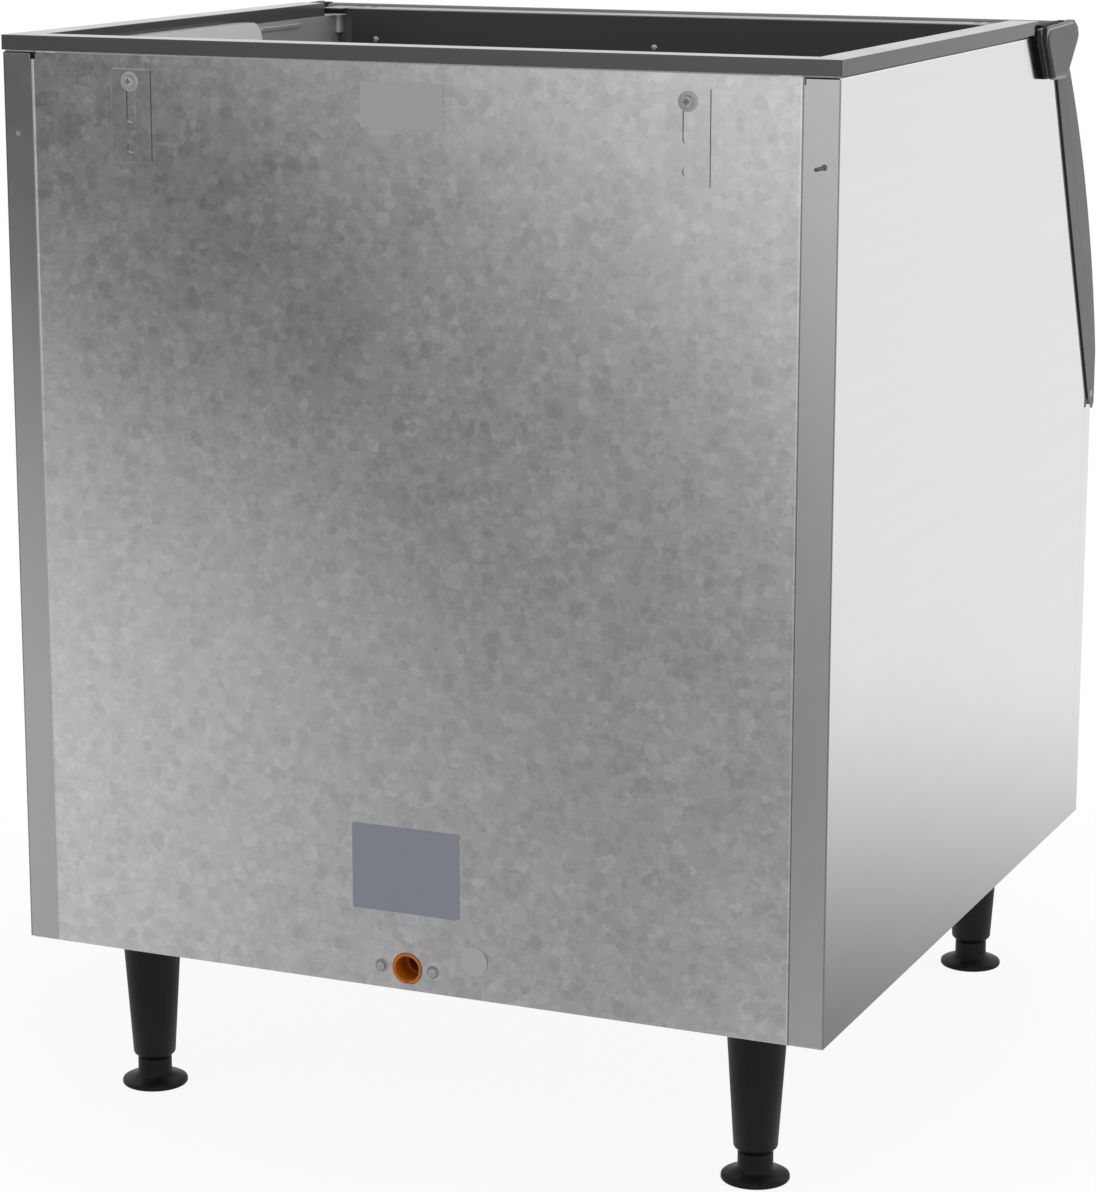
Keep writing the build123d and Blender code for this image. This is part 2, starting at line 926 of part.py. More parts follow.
# Corner plates: each bridges from under the header's top to the end of the rim
tab_top_height = roof_low_height - fit_gap
with BuildPart() as header_corner_plates:
    for side in sides.values():
        block(
            (side * corner_plate_inner_x, side * corner_plate_outer_x),
            (rim_front_depth, header_front_depth),
            (roof_height - corner_plate_sheet, roof_height),
        )
        block(
            (side * corner_plate_inner_x, side * (corner_plate_inner_x + corner_plate_sheet)),
            (header_rear_depth + header_sheet + fit_gap, header_front_depth - header_sheet - fit_gap),
            (tab_top_height - corner_plate_sheet, roof_height),
        )
        block(
            (side * corner_tab_inner_x, side * (corner_plate_inner_x + corner_plate_sheet)),
            (header_rear_depth + header_sheet + fit_gap, header_front_depth - header_sheet - fit_gap),
            (tab_top_height - corner_plate_sheet, tab_top_height),
        )
        block(
            (
                side * (corner_plate_inner_x + corner_plate_sheet),
                side * (corner_plate_inner_x + corner_plate_sheet + corner_post_width),
            ),
            (header_rear_depth, header_front_depth - header_sheet),
            (header_end_height, roof_height),
        )
        rod_z(
            small_shank_radius + shank_gap,
            (header_end_height, roof_height + overrun),
            side * screw_slot_x,
            screw_slot_depth,
            Mode.SUBTRACT,
        )
keep(header_corner_plates, "header_corner_plates")

with BuildPart() as header_screws:
    for side in sides.values():
        screw_x = side * screw_slot_x
        rod_z(
            small_shank_radius,
            (header_foam_top, tab_top_height),
            screw_x,
            screw_slot_depth,
        )
        rod_z(
            small_head_radius,
            (tab_top_height, tab_top_height + small_head_height),
            screw_x,
            screw_slot_depth,
        )
        arm = small_head_radius * 2 - cross_width * 2
        for arm_x, arm_y in ((arm, cross_width), (cross_width, arm)):
            with Locations(
                (screw_x, rear_y - screw_slot_depth, leg_height + tab_top_height + small_head_height)
            ):
                Box(arm_x, arm_y, cross_depth * 2, mode=Mode.SUBTRACT)
keep(header_screws, "header_screws")

# Rubber bumpers on the header's front, for the raised door
with BuildPart() as door_bumpers:
    for side in sides.values():
        rod_y(
            bumper_radius,
            (header_front_depth, header_front_depth + bumper_reach),
            side * bumper_x,
            bumper_height,
        )
        rod_y(
            bumper_stem_radius,
            (header_front_depth - header_sheet, header_front_depth),
            side * bumper_x,
            bumper_height,
        )
keep(door_bumpers, "door_bumpers")

# Door frame: a ring on the slanted plane, round the front opening
frame_top_rise = hinge_rise - frame_top_gap
with BuildPart() as door_frame:
    frame_half = inner_half_width - fit_gap
    frame_foot_height = front_panel_top + fit_gap
    lean = radians(slope_angle)
    front_foot_depth = slope_depth(frame_foot_height) + frame_thickness / cos(lean)
    extrude(
        profile(
            (
                slope_point(0, 0),
                slope_point(frame_top_rise, 0),
                slope_point(frame_top_rise, frame_thickness),
                yz(front_foot_depth, frame_foot_height),
                yz(seam_depth, frame_foot_height),
            ),
            -frame_half,
        ),
        amount=frame_half * 2,
    )
    extrude(
        profile(
            (
                slope_point(frame_low_bar_rise, -overrun),
                slope_point(frame_top_rise - frame_top_bar, -overrun),
                slope_point(frame_top_rise - frame_top_bar, frame_thickness + overrun),
                slope_point(frame_low_bar_rise, frame_thickness + overrun),
            ),
            -liner_half_width,
        ),
        amount=liner_half_width * 2,
        mode=Mode.SUBTRACT,
    )
keep(door_frame, "door_frame")


def door_outline():
    """The door's side outline: inner face, knuckle round the hinge, long outer arc and foot."""
    centre = (hinge_y, hinge_z)
    arm = sqrt(knuckle_radius**2 - (hinge_stand_off - door_stand_off) ** 2)
    inner_top = slope_point(hinge_rise + arm, door_stand_off)
    top_angle = degrees(atan2(inner_top[1] - hinge_z, inner_top[0] - hinge_y))
    blend = around(centre, knuckle_radius, knuckle_blend_angle)
    face_centre = around(centre, knuckle_radius - door_face_radius, knuckle_blend_angle)
    front_y = rear_y - door_front_depth
    face_end_angle = degrees(acos((front_y - face_centre[0]) / door_face_radius))
    face_end = around(face_centre, door_face_radius, face_end_angle)
    face_middle_angle = (knuckle_blend_angle + face_end_angle) / 2
    inner_foot = slope_point(-door_inner_drop, door_stand_off)
    foot = yz(door_foot_depth, door_foot_height)
    toe = (front_y, foot[1] + door_foot_bevel)
    with BuildSketch() as outline:
        with BuildLine():
            ThreePointArc(
                inner_top,
                around(centre, knuckle_radius, (top_angle + knuckle_blend_angle) / 2),
                blend,
            )
            ThreePointArc(
                blend,
                around(face_centre, door_face_radius, face_middle_angle),
                face_end,
            )
            Polyline(face_end, toe, foot, inner_foot, inner_top)
        make_face()
        fillet(outline.vertices().sort_by(Axis.Y)[:2], door_foot_radius)
    return outline.sketch


def door_region(x, tray):
    """The tray's or the skin's share of the door's outline."""
    gap = 0 if tray else fit_gap
    seam = door_stand_off + tray_depth
    with BuildSketch(Plane.YZ.offset(x)) as region:
        add(door_outline())
        with BuildLine():
            Polyline(
                slope_point(hinge_rise + door_front_depth, seam + gap),
                slope_point(-door_front_depth, seam + gap),
                slope_point(-door_front_depth, -door_front_depth),
                slope_point(hinge_rise + door_front_depth, -door_front_depth),
                close=True,
            )
        make_face(mode=Mode.INTERSECT if tray else Mode.SUBTRACT)
    with BuildSketch(Plane.YZ.offset(x)) as grip:
        add(door_outline())
        with BuildLine():
            Polyline(
                yz(0, -body_height),
                yz(0, grip_height + gap),
                yz(cabinet_depth * 2, grip_height + gap),
                yz(cabinet_depth * 2, -body_height),
                close=True,
            )
        make_face(mode=Mode.INTERSECT)
    return region.sketch, grip.sketch


def door_cavity(x, wall):
    """The hollow of the door above its solid grip."""
    with BuildSketch(Plane.YZ.offset(x)) as cavity:
        add(door_outline())
        offset(amount=-wall, kind=Kind.INTERSECTION, mode=Mode.REPLACE)
        with BuildLine():
            Polyline(
                yz(0, -body_height),
                yz(0, grip_height + wall),
                yz(cabinet_depth * 2, grip_height + wall),
                yz(cabinet_depth * 2, -body_height),
                close=True,
            )
        make_face(mode=Mode.SUBTRACT)
    return cavity.sketch


# Door tray: inner face, rear half of the sides and the solid grip along the foot
cavity_half = door_half_width - door_wall
boss_end_x = door_half_width - bush_length
with BuildPart() as door_tray:
    region, grip = door_region(-door_half_width, True)
    extrude(region, amount=door_half_width * 2)
    extrude(grip, amount=door_half_width * 2)
    extrude(door_cavity(-cavity_half, door_wall), amount=cavity_half * 2, mode=Mode.SUBTRACT)
    with BuildSketch(Plane.YZ.offset(-groove_half_length)) as groove:
        with Locations(yz(groove_depth, groove_height)):
            Circle(groove_radius)
    extrude(groove.sketch, amount=groove_half_length * 2, mode=Mode.SUBTRACT)
    for side in sides.values():
        rod_x(
            bush_boss_radius,
            (side * boss_end_x, side * (cavity_half + door_wall / 2)),
            hinge_y,
            hinge_z,
        )
        rod_x(
            bush_radius + shank_gap,
            (side * (boss_end_x - overrun), side * (door_half_width + overrun)),
            hinge_y,
            hinge_z,
            Mode.SUBTRACT,
        )
        screw_y, screw_z = yz(door_screw_depth, door_screw_height)
        rod_x(
            small_shank_radius + shank_gap,
            (side * (door_half_width - overrun), side * (door_half_width + overrun)),
            screw_y,
            screw_z,
            Mode.SUBTRACT,
        )
keep(door_tray, "door_tray")

# Door skin: the convex outer shell
with BuildPart() as door_skin:
    region, grip = door_region(-door_half_width, False)
    extrude(region, amount=door_half_width * 2)
    extrude(grip, amount=door_half_width * 2, mode=Mode.SUBTRACT)
    extrude(door_cavity(-cavity_half, door_wall), amount=cavity_half * 2, mode=Mode.SUBTRACT)
keep(door_skin, "door_skin")

# Insulation inside the door
with BuildPart() as door_insulation:
    foam_half = cavity_half - fit_gap
    extrude(door_cavity(-foam_half, door_wall + fit_gap), amount=foam_half * 2)
    for side in sides.values():
        rod_x(
            bush_boss_radius + fit_gap,
            (side * (boss_end_x - fit_gap), side * (foam_half + overrun)),
            hinge_y,
            hinge_z,
            Mode.SUBTRACT,
        )
keep(door_insulation, "door_insulation")

# Gasket: a soft ring on the door's inner face
with BuildPart() as door_gasket:
    gasket_half = door_half_width - gasket_side_inset
    gasket_top_rise = hinge_rise - gasket_top_gap
    gasket_low_stand = frame_thickness + gasket_gap
    for low, high, half, mode in (
        (-gasket_foot_rise, gasket_top_rise, gasket_half, Mode.ADD),
        (
            gasket_bar - gasket_foot_rise,
            gasket_top_rise - gasket_bar,
            gasket_half - gasket_bar,
            Mode.SUBTRACT,
        ),
    ):
        extrude(
            profile(
                (
                    slope_point(low, gasket_low_stand),
                    slope_point(high, gasket_low_stand),
                    slope_point(high, door_stand_off),
                    slope_point(low, door_stand_off),
                ),
                -half,
            ),
            amount=half * 2,
            mode=mode,
        )
keep(door_gasket, "door_gasket")

# Bushes pressed into the door's ends, each with an outer flange
pin_play_radius = hinge_pin_radius + bush_play
with BuildPart() as hinge_bushes:
    for side in sides.values():
        face_x = side * door_half_width
        flange_x = face_x + side * bush_flange_thickness
        rod_x(bush_radius, (side * boss_end_x, face_x), hinge_y, hinge_z)
        rod_x(bush_flange_radius, (face_x, flange_x), hinge_y, hinge_z)
        rod_x(
            pin_play_radius,
            (side * (boss_end_x - overrun), flange_x + side * overrun),
            hinge_y,
            hinge_z,
            Mode.SUBTRACT,
        )
keep(hinge_bushes, "hinge_bushes")

# Small screws through the door's ends, near its foot
with BuildPart() as door_side_screws:
    for side in sides.values():
        face_x = side * door_half_width
        screw_y, screw_z = yz(door_screw_depth, door_screw_height)
        rod_x(
            small_shank_radius,
            (face_x - side * (overrun - fit_gap), face_x),
            screw_y,
            screw_z,
        )
        rod_x(
            small_head_radius,
            (face_x, face_x + side * small_head_height / 2),
            screw_y,
            screw_z,
        )
keep(door_side_screws, "door_side_screws")

# Outline shared by the hinge brackets and caps, its corners as (depth, height, radius)
cap_corners = (
    (537.2, 794.0, 12.0),
    (532.0, 808.4, 3.5),
    (626.4, 810.5, 4.0),
    (649.8, 798.6, 4.0),
    (607.0, 757.6, 16.0),
    (563.0, 758.7, 7.0),
)


def cap_outline(x, inset):
    """The hinge cap's side outline, drawn in by an inset."""
    with BuildSketch(Plane.YZ.offset(x)) as outline:
        with BuildLine():
            Polyline(*[yz(depth, height) for depth, height, radius in cap_corners], close=True)
        make_face()
        for depth, height, radius in cap_corners:
            corner = Vector(*yz(depth, height))
            fillet(outline.vertices().sort_by_distance(corner)[0], radius)
        if inset:
            offset(amount=-inset, kind=Kind.INTERSECTION, mode=Mode.REPLACE)
    return outline.sketch


# Hinge brackets: steel ears that stand off the side panels
for name, side in sides.items():
    with BuildPart() as hinge_bracket:
        extrude(
            cap_outline(side * ear_inner_x, cap_bevel),
            amount=side * (ear_sheet - fit_gap),
        )
        rod_x(
            hinge_pin_radius + shank_gap,
            (side * half_width, side * cap_outer_x),
            hinge_y,
            hinge_z,
            Mode.SUBTRACT,
        )
        for bolt_depth, bolt_height in hinge_bolt_places:
            bolt_y, bolt_z = yz(bolt_depth, bolt_height)
            rod_x(
                hinge_bolt_radius + shank_gap,
                (side * half_width, side * cap_outer_x),
                bolt_y,
                bolt_z,
                Mode.SUBTRACT,
            )
    keep(hinge_bracket, f"hinge_bracket_{name}")

    with BuildPart() as hinge_cap:
        extrude(
            cap_outline(side * ear_outer_x, 0),
            amount=side * (cap_outer_reach - ear_gap - ear_sheet),
        )
        outer_face = hinge_cap.faces().sort_by(Axis.X)[-1 if side > 0 else 0]
        fillet(outer_face.edges(), cap_edge_radius)
        extrude(
            cap_outline(side * ear_outer_x, cap_wall),
            amount=side * (cap_outer_reach - ear_gap - ear_sheet - cap_wall),
            mode=Mode.SUBTRACT,
        )
    keep(hinge_cap, f"hinge_cap_{name}")

# Pads, bolts and nut plates that carry the brackets; each pad clears the door's bush
plate_outer_x = inner_half_width - fit_gap
plate_inner_x = plate_outer_x - nut_plate_thickness
bracket_face_x = ear_outer_x - fit_gap
with BuildPart() as hinge_pads:
    for side in sides.values():
        extrude(
            cap_outline(side * half_width, hinge_pad_inset),
            amount=side * ear_gap,
        )
        block(
            (side * (half_width - overrun), side * (ear_inner_x + overrun)),
            (0, rim_front_depth + fit_gap),
            (rim_low_height - fit_gap, body_height + overrun),
            Mode.SUBTRACT,
        )
        through = (side * (half_width - overrun), side * (ear_inner_x + overrun))
        rod_x(hinge_pad_bore_radius, through, hinge_y, hinge_z, Mode.SUBTRACT)
        for bolt_depth, bolt_height in hinge_bolt_places:
            bolt_y, bolt_z = yz(bolt_depth, bolt_height)
            rod_x(hinge_bolt_radius + shank_gap, through, bolt_y, bolt_z, Mode.SUBTRACT)
keep(hinge_pads, "hinge_pads")

with BuildPart() as hinge_bolts:
    for side in sides.values():
        for bolt_depth, bolt_height in hinge_bolt_places:
            bolt_y, bolt_z = yz(bolt_depth, bolt_height)
            rod_x(
                hinge_bolt_radius,
                (side * (plate_inner_x - hinge_bolt_tail), side * bracket_face_x),
                bolt_y,
                bolt_z,
            )
            rod_x(
                hinge_bolt_head_radius,
                (side * bracket_face_x, side * (bracket_face_x + hinge_bolt_head_height)),
                bolt_y,
                bolt_z,
            )
keep(hinge_bolts, "hinge_bolts")

with BuildPart() as hinge_nut_plates:
    for side in sides.values():
        block(
            (side * plate_inner_x, side * plate_outer_x),
            (
                hinge_bolt_places[0][0] - nut_plate_margin,
                header_rear_depth - fit_gap * 2,
            ),
            (
                hinge_bolt_places[1][1] - nut_plate_margin,
                hinge_bolt_places[0][1] + nut_plate_margin,
            ),
        )
        for bolt_depth, bolt_height in hinge_bolt_places:
            bolt_y, bolt_z = yz(bolt_depth, bolt_height)
            rod_x(
                hinge_bolt_radius + shank_gap,
                (side * (plate_inner_x - overrun), side * (plate_outer_x + overrun)),
                bolt_y,
                bolt_z,
                Mode.SUBTRACT,
            )
keep(hinge_nut_plates, "hinge_nut_plates")

# Hinge pins: riveted in the brackets, a shoulder against each bush
with BuildPart() as hinge_pins:
    shoulder_x = door_half_width + bush_flange_thickness + fit_gap
    for side in sides.values():
        rod_x(
            hinge_pin_radius,
            (side * (door_half_width - hinge_pin_reach), side * bracket_face_x),
            hinge_y,
            hinge_z,
        )
        rod_x(
            pin_shoulder_radius,
            (side * shoulder_x, side * ear_inner_x),
            hinge_y,
            hinge_z,
        )
        rod_x(
            pin_head_radius,
            (side * bracket_face_x, side * (bracket_face_x + pin_head_height)),
            hinge_y,
            hinge_z,
        )
keep(hinge_pins, "hinge_pins")

# Slotted retaining brackets on the back: each hangs on its screw and can be slid up
bracket_inner_depth = rear_panel_recess - bracket_slide_gap
bracket_outer_depth = bracket_inner_depth - bracket_thickness
for name, screw_x in bracket_places.items():
    with BuildPart() as retaining_bracket:
        block(
            (screw_x - bracket_width / 2, screw_x + bracket_width / 2),
            (bracket_outer_depth, bracket_inner_depth),
            (bracket_low_height, bracket_top_height),
        )
        fillet(retaining_bracket.edges().filter_by(Axis.Y), bracket_corner_radius)
        through = (bracket_outer_depth - overrun, bracket_inner_depth + overrun)
        rod_y(
            bracket_hole_radius,
            through,
            screw_x,
            bracket_hole_height,
            Mode.SUBTRACT,
        )
        slot_top_height = bracket_screw_height + bracket_shank_radius + shank_gap
        slot_middle = (slot_low_height + slot_top_height) / 2
        with BuildSketch(Plane.XZ.offset(through[0] - rear_y)) as slot:
            with Locations((screw_x, leg_height + slot_middle)):
                SlotOverall(slot_top_height - slot_low_height, slot_half_width * 2, rotation=90)
        extrude(slot.sketch, amount=through[1] - through[0], mode=Mode.SUBTRACT)
    keep(retaining_bracket, f"retaining_bracket_{name}")

washer_face_depth = bracket_outer_depth - bracket_slide_gap
head_face_depth = washer_face_depth - bracket_washer_thickness
with BuildPart() as bracket_washers:
    for screw_x in bracket_places.values():
        rod_y(
            bracket_washer_radius,
            (head_face_depth, washer_face_depth),
            screw_x,
            bracket_screw_height,
        )
        rod_y(
            bracket_shank_radius + shank_gap,
            (head_face_depth - overrun, washer_face_depth + overrun),
            screw_x,
            bracket_screw_height,
            Mode.SUBTRACT,
        )
keep(bracket_washers, "bracket_washers")

with BuildPart() as bracket_screws:
    head_top_depth = head_face_depth - bracket_head_height
    for screw_x in bracket_places.values():
        rod_y(
            bracket_shank_radius,
            (head_face_depth, bracket_screw_length),
            screw_x,
            bracket_screw_height,
        )
        rod_y(
            bracket_head_radius,
            (head_top_depth, head_face_depth),
            screw_x,
            bracket_screw_height,
        )
        cross_y(bracket_head_radius, head_top_depth, screw_x, bracket_screw_height)
keep(bracket_screws, "bracket_screws")


def blank_plate(x, height, width, tall):
    """A thin rounded plate on the rear panel."""
    with BuildSketch(Plane.XZ.offset(rear_panel_recess - plate_thickness - rear_y)) as face:
        with Locations((x, leg_height + height)):
            RectangleRounded(width, tall, plate_corner_radius)
    with BuildPart() as plate:
        extrude(face.sketch, amount=plate_thickness)
    return plate


keep(
    blank_plate(
        upper_plate_x, upper_plate_centre_height, upper_plate_width, upper_plate_height
    ),
    "blank_plate_upper",
)
keep(
    blank_plate(
        lower_plate_x, lower_plate_centre_height, lower_plate_width, lower_plate_height
    ),
    "blank_plate_lower",
)

# Drain fitting: rear socket, bolted flange and an upright cup under the liner's floor
neck_top_height = liner_floor_height - liner_wall - fit_gap
with BuildPart() as drain_fitting:
    rod_y(drain_radius, (drain_face_depth, drain_turn_depth), drain_x, drain_height)
    rod_z(
        drain_cup_radius,
        (drain_height - drain_cup_drop, neck_top_height),
        0,
        drain_turn_depth,
    )
    rod_z(
        drain_neck_radius,
        (neck_top_height - drain_neck_thickness, neck_top_height),
        0,
        drain_turn_depth,
    )
    block(
        (drain_x - drain_flange_width / 2, drain_x + drain_flange_width / 2),
        (rear_inner_depth + fit_gap, rear_inner_depth + fit_gap + drain_flange_thickness),
        (drain_height - drain_flange_height / 2, drain_height + drain_flange_height / 2),
    )
    rod_y(
        drain_bore_radius,
        (drain_face_depth - overrun, drain_face_depth + drain_bore_length),
        drain_x,
        drain_height,
        Mode.SUBTRACT,
    )
    rod_y(drain_pipe_bore_radius, (0, drain_turn_depth), drain_x, drain_height, Mode.SUBTRACT)
    rod_z(
        drain_cup_bore_radius,
        (drain_height - drain_cup_bore_drop, neck_top_height + overrun),
        0,
        drain_turn_depth,
        Mode.SUBTRACT,
    )
    block(
        (drain_x - drain_tab_width / 2, drain_x + drain_tab_width / 2),
        (drain_face_depth - overrun, drain_face_depth + drain_tab_depth),
        (drain_height - drain_radius - overrun, drain_height - drain_bore_radius / 2),
        Mode.SUBTRACT,
    )
    for side in sides.values():
        rod_y(
            drain_bolt_radius + shank_gap,
            (0, rear_inner_depth + overrun),
            drain_x + side * drain_bolt_x,
            drain_height,
            Mode.SUBTRACT,
        )
keep(drain_fitting, "drain_fitting")

# Strainer in the liner's floor: a ring of small holes round a neck
with BuildPart() as drain_strainer:
    rod_z(
        strainer_radius,
        (liner_floor_height, liner_floor_height + strainer_thickness),
        0,
        drain_turn_depth,
    )
    rod_z(
        strainer_neck_radius,
        (liner_floor_height - strainer_neck_length, liner_floor_height),
        0,
        drain_turn_depth,
    )
    rod_z(
        strainer_neck_radius - strainer_thickness,
        (liner_floor_height - strainer_neck_length - overrun, liner_floor_height),
        0,
        drain_turn_depth,
        Mode.SUBTRACT,
    )
    with Locations((0, rear_y - drain_turn_depth, leg_height + liner_floor_height)):
        with PolarLocations(strainer_neck_radius / 2, strainer_inner_count):
            Cylinder(strainer_hole_radius, strainer_thickness * 4, mode=Mode.SUBTRACT)
        with PolarLocations(strainer_ring_radius, strainer_hole_count):
            Cylinder(strainer_hole_radius, strainer_thickness * 4, mode=Mode.SUBTRACT)
keep(drain_strainer, "drain_strainer")

# Drain bolts and washers
washer_top_depth = rear_panel_recess - drain_washer_thickness
with BuildPart() as drain_washers:
    for side in sides.values():
        rod_y(
            drain_washer_radius,
            (washer_top_depth, rear_panel_recess),
            drain_x + side * drain_bolt_x,
            drain_height,
        )
        rod_y(
            drain_bolt_radius + shank_gap,
            (washer_top_depth - overrun, rear_panel_recess + overrun),
            drain_x + side * drain_bolt_x,
            drain_height,
            Mode.SUBTRACT,
        )
keep(drain_washers, "drain_washers")

with BuildPart() as drain_bolts:
    for side in sides.values():
        rod_y(
            drain_bolt_radius,
            (washer_top_depth, washer_top_depth + drain_bolt_length),
            drain_x + side * drain_bolt_x,
            drain_height,
        )
        with BuildSketch(Plane.XZ.offset(washer_top_depth - drain_bolt_head_height - rear_y)) as head:
            with Locations((drain_x + side * drain_bolt_x, leg_height + drain_height)):
                RegularPolygon(drain_bolt_head_radius, 6, major_radius=True)
        extrude(head.sketch, amount=drain_bolt_head_height)
keep(drain_bolts, "drain_bolts")

# Round plug in the rear panel
with BuildPart() as hole_plug:
    rod_y(
        plug_radius,
        (rear_panel_recess - plug_thickness, rear_panel_recess),
        plug_x,
        plug_height,
    )
    fillet(hole_plug.edges().sort_by(Axis.Y)[-1], plug_thickness / 3)
    rod_y(
        plug_stem_radius,
        (rear_panel_recess, rear_panel_recess + plug_stem_length),
        plug_x,
        plug_height,
    )
keep(hole_plug, "hole_plug")


def turned(points, x, depth):
    """A solid turned about a vertical axis, from its outline of (radius, height above floor)."""
    place = Plane(origin=(x, rear_y - depth, 0), x_dir=(1, 0, 0), z_dir=(0, -1, 0))
    with BuildPart() as solid:
        with BuildSketch(place):
            with BuildLine():
                Polyline(*points, close=True)
            make_face()
        revolve(axis=Axis((x, rear_y - depth, 0), (0, 0, 1)))
    return solid.part


# Legs, with a stud above and a threaded bore for the foot below
stud_low_height = leg_height - leg_stud_engagement
leg_end_height = leg_height - leg_end_drop
leg_low_height = leg_height - leg_low_drop
leg_bore_radius = foot_stud_radius + stud_bore_gap
foot_stem_top = leg_end_height - foot_gap
foot_stud_top = foot_stud_seat + foot_stud_length
leg_bore_top = foot_stud_top + foot_gap * 2
leg_points = (
    (leg_bore_radius, leg_end_height),
    (leg_end_radius, leg_end_height),
    (leg_low_radius - (leg_low_radius - leg_end_radius) / 4, (leg_end_height + leg_low_height) / 2),
    (leg_low_radius, leg_low_height),
    (leg_top_radius, leg_height),
    (leg_stud_radius + fit_gap / 2, leg_height),
    (leg_stud_radius + fit_gap / 2, stud_low_height),
    (0, stud_low_height),
    (0, leg_bore_top),
    (leg_bore_radius, leg_bore_top),
)
for name, (place_x, place_depth) in leg_places.items():
    with BuildPart() as leg:
        add(turned(leg_points, place_x, place_depth))
    keep(leg, f"leg_{name}")

with BuildPart() as leg_studs:
    for place_x, place_depth in leg_places.values():
        rod_z(
            leg_stud_radius,
            (-leg_stud_engagement, socket_height - socket_roof - fit_gap),
            place_x,
            place_depth,
        )
keep(leg_studs, "leg_studs")

# Sockets: a plate under the base pan and a threaded cup through it
with BuildPart() as leg_sockets:
    for place_x, place_depth in leg_places.values():
        half_plate = socket_plate_width / 2
        block(
            (place_x - half_plate, place_x + half_plate),
            (place_depth - half_plate, place_depth + half_plate),
            (0, socket_plate_sheet),
        )
        rod_z(socket_radius, (0, socket_height), place_x, place_depth)
        rod_z(
            leg_stud_radius + fit_gap / 2,
            (-overrun, socket_height - socket_roof),
            place_x,
            place_depth,
            Mode.SUBTRACT,
        )
keep(leg_sockets, "leg_sockets")

# Levelling feet and the studs that screw up into the legs
foot_points = (
    (0, 0),
    (foot_radius - foot_edge_radius, 0),
    (foot_radius, foot_edge_radius),
    (foot_radius, foot_rim_height - foot_edge_radius),
    (foot_cone_radius, foot_rim_height),
    (foot_stem_radius + foot_neck_radius, foot_cone_height),
    (foot_stem_radius, foot_cone_height + foot_neck_radius),
    (foot_stem_radius, foot_stem_top),
    (foot_stud_radius + fit_gap / 2, foot_stem_top),
    (foot_stud_radius + fit_gap / 2, foot_stud_seat),
    (0, foot_stud_seat),
)
for name, (place_x, place_depth) in leg_places.items():
    with BuildPart() as foot:
        add(turned(foot_points, place_x, place_depth))
    keep(foot, f"foot_{name}")

    with BuildPart() as foot_stud:
        rod_z(
            foot_stud_radius,
            (foot_stud_seat - leg_height, foot_stud_top - leg_height),
            place_x,
            place_depth,
        )
    keep(foot_stud, f"foot_stud_{name}")
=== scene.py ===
import math

import bmesh
import bpy
from bpy.props import FloatProperty, FloatVectorProperty, PointerProperty
from bpy.types import Operator, Panel, PropertyGroup
from mathutils import Matrix, Vector


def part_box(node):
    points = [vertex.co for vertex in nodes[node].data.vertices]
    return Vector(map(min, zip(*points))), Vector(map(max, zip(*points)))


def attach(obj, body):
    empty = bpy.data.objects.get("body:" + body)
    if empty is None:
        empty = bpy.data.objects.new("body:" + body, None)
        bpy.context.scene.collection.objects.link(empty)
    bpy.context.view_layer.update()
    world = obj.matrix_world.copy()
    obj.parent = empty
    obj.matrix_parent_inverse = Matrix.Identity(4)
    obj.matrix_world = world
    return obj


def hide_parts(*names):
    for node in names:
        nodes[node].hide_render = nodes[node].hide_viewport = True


bl_info = {
    "name": "Ice Storage Bin",
    "version": (1, 0, 0),
    "blender": (4, 5, 0),
    "location": "View3D > Sidebar > Ice Bin",
    "description": "Finishes, small modelled pieces, camera and studio for a packed ice storage bin",
    "category": "Object",
}

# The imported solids, and their box before anything is added to them
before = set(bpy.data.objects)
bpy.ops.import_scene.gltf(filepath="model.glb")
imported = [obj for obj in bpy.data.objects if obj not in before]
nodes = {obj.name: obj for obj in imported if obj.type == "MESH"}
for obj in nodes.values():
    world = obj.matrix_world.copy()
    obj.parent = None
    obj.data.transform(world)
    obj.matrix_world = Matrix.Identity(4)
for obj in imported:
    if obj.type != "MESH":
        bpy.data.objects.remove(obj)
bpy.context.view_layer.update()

MM = 0.001
UP = (0, 0, 1)
BACK = (0, 1, 0)
ACROSS = (1, 0, 0)
BLACK = (0.0, 0.0, 0.0)
LEG_NAMES = ("front_left", "front_right", "rear_left", "rear_right")


def paint(red, green, blue):
    """A colour as the three 0 to 255 levels of a paint chart, turned to linear light."""
    levels = (level / 255 for level in (red, green, blue))
    return tuple(
        level / 12.92 if level <= 0.04045 else ((level + 0.055) / 1.055) ** 2.4 for level in levels
    )


WHITE = paint(255, 255, 255)


def colour(title, red, green, blue):
    """A colour setting in the sidebar."""
    return FloatVectorProperty(
        name=title,
        description=f"Base colour of the {title.lower()}",
        subtype="COLOR",
        size=3,
        min=0,
        max=1,
        default=paint(red, green, blue),
    )


def length(title, note, metres):
    """A length setting in the sidebar."""
    return FloatProperty(
        name=title, description=note, unit="LENGTH", min=0, default=metres, precision=5
    )


def share(title, note, value):
    """A plain 0 to 1 setting in the sidebar."""
    return FloatProperty(name=title, description=note, min=0, max=1, default=value)


def power(title, note, watts):
    """A lamp's power setting in the sidebar."""
    return FloatProperty(name=title, description=note, unit="POWER", min=0, default=watts)


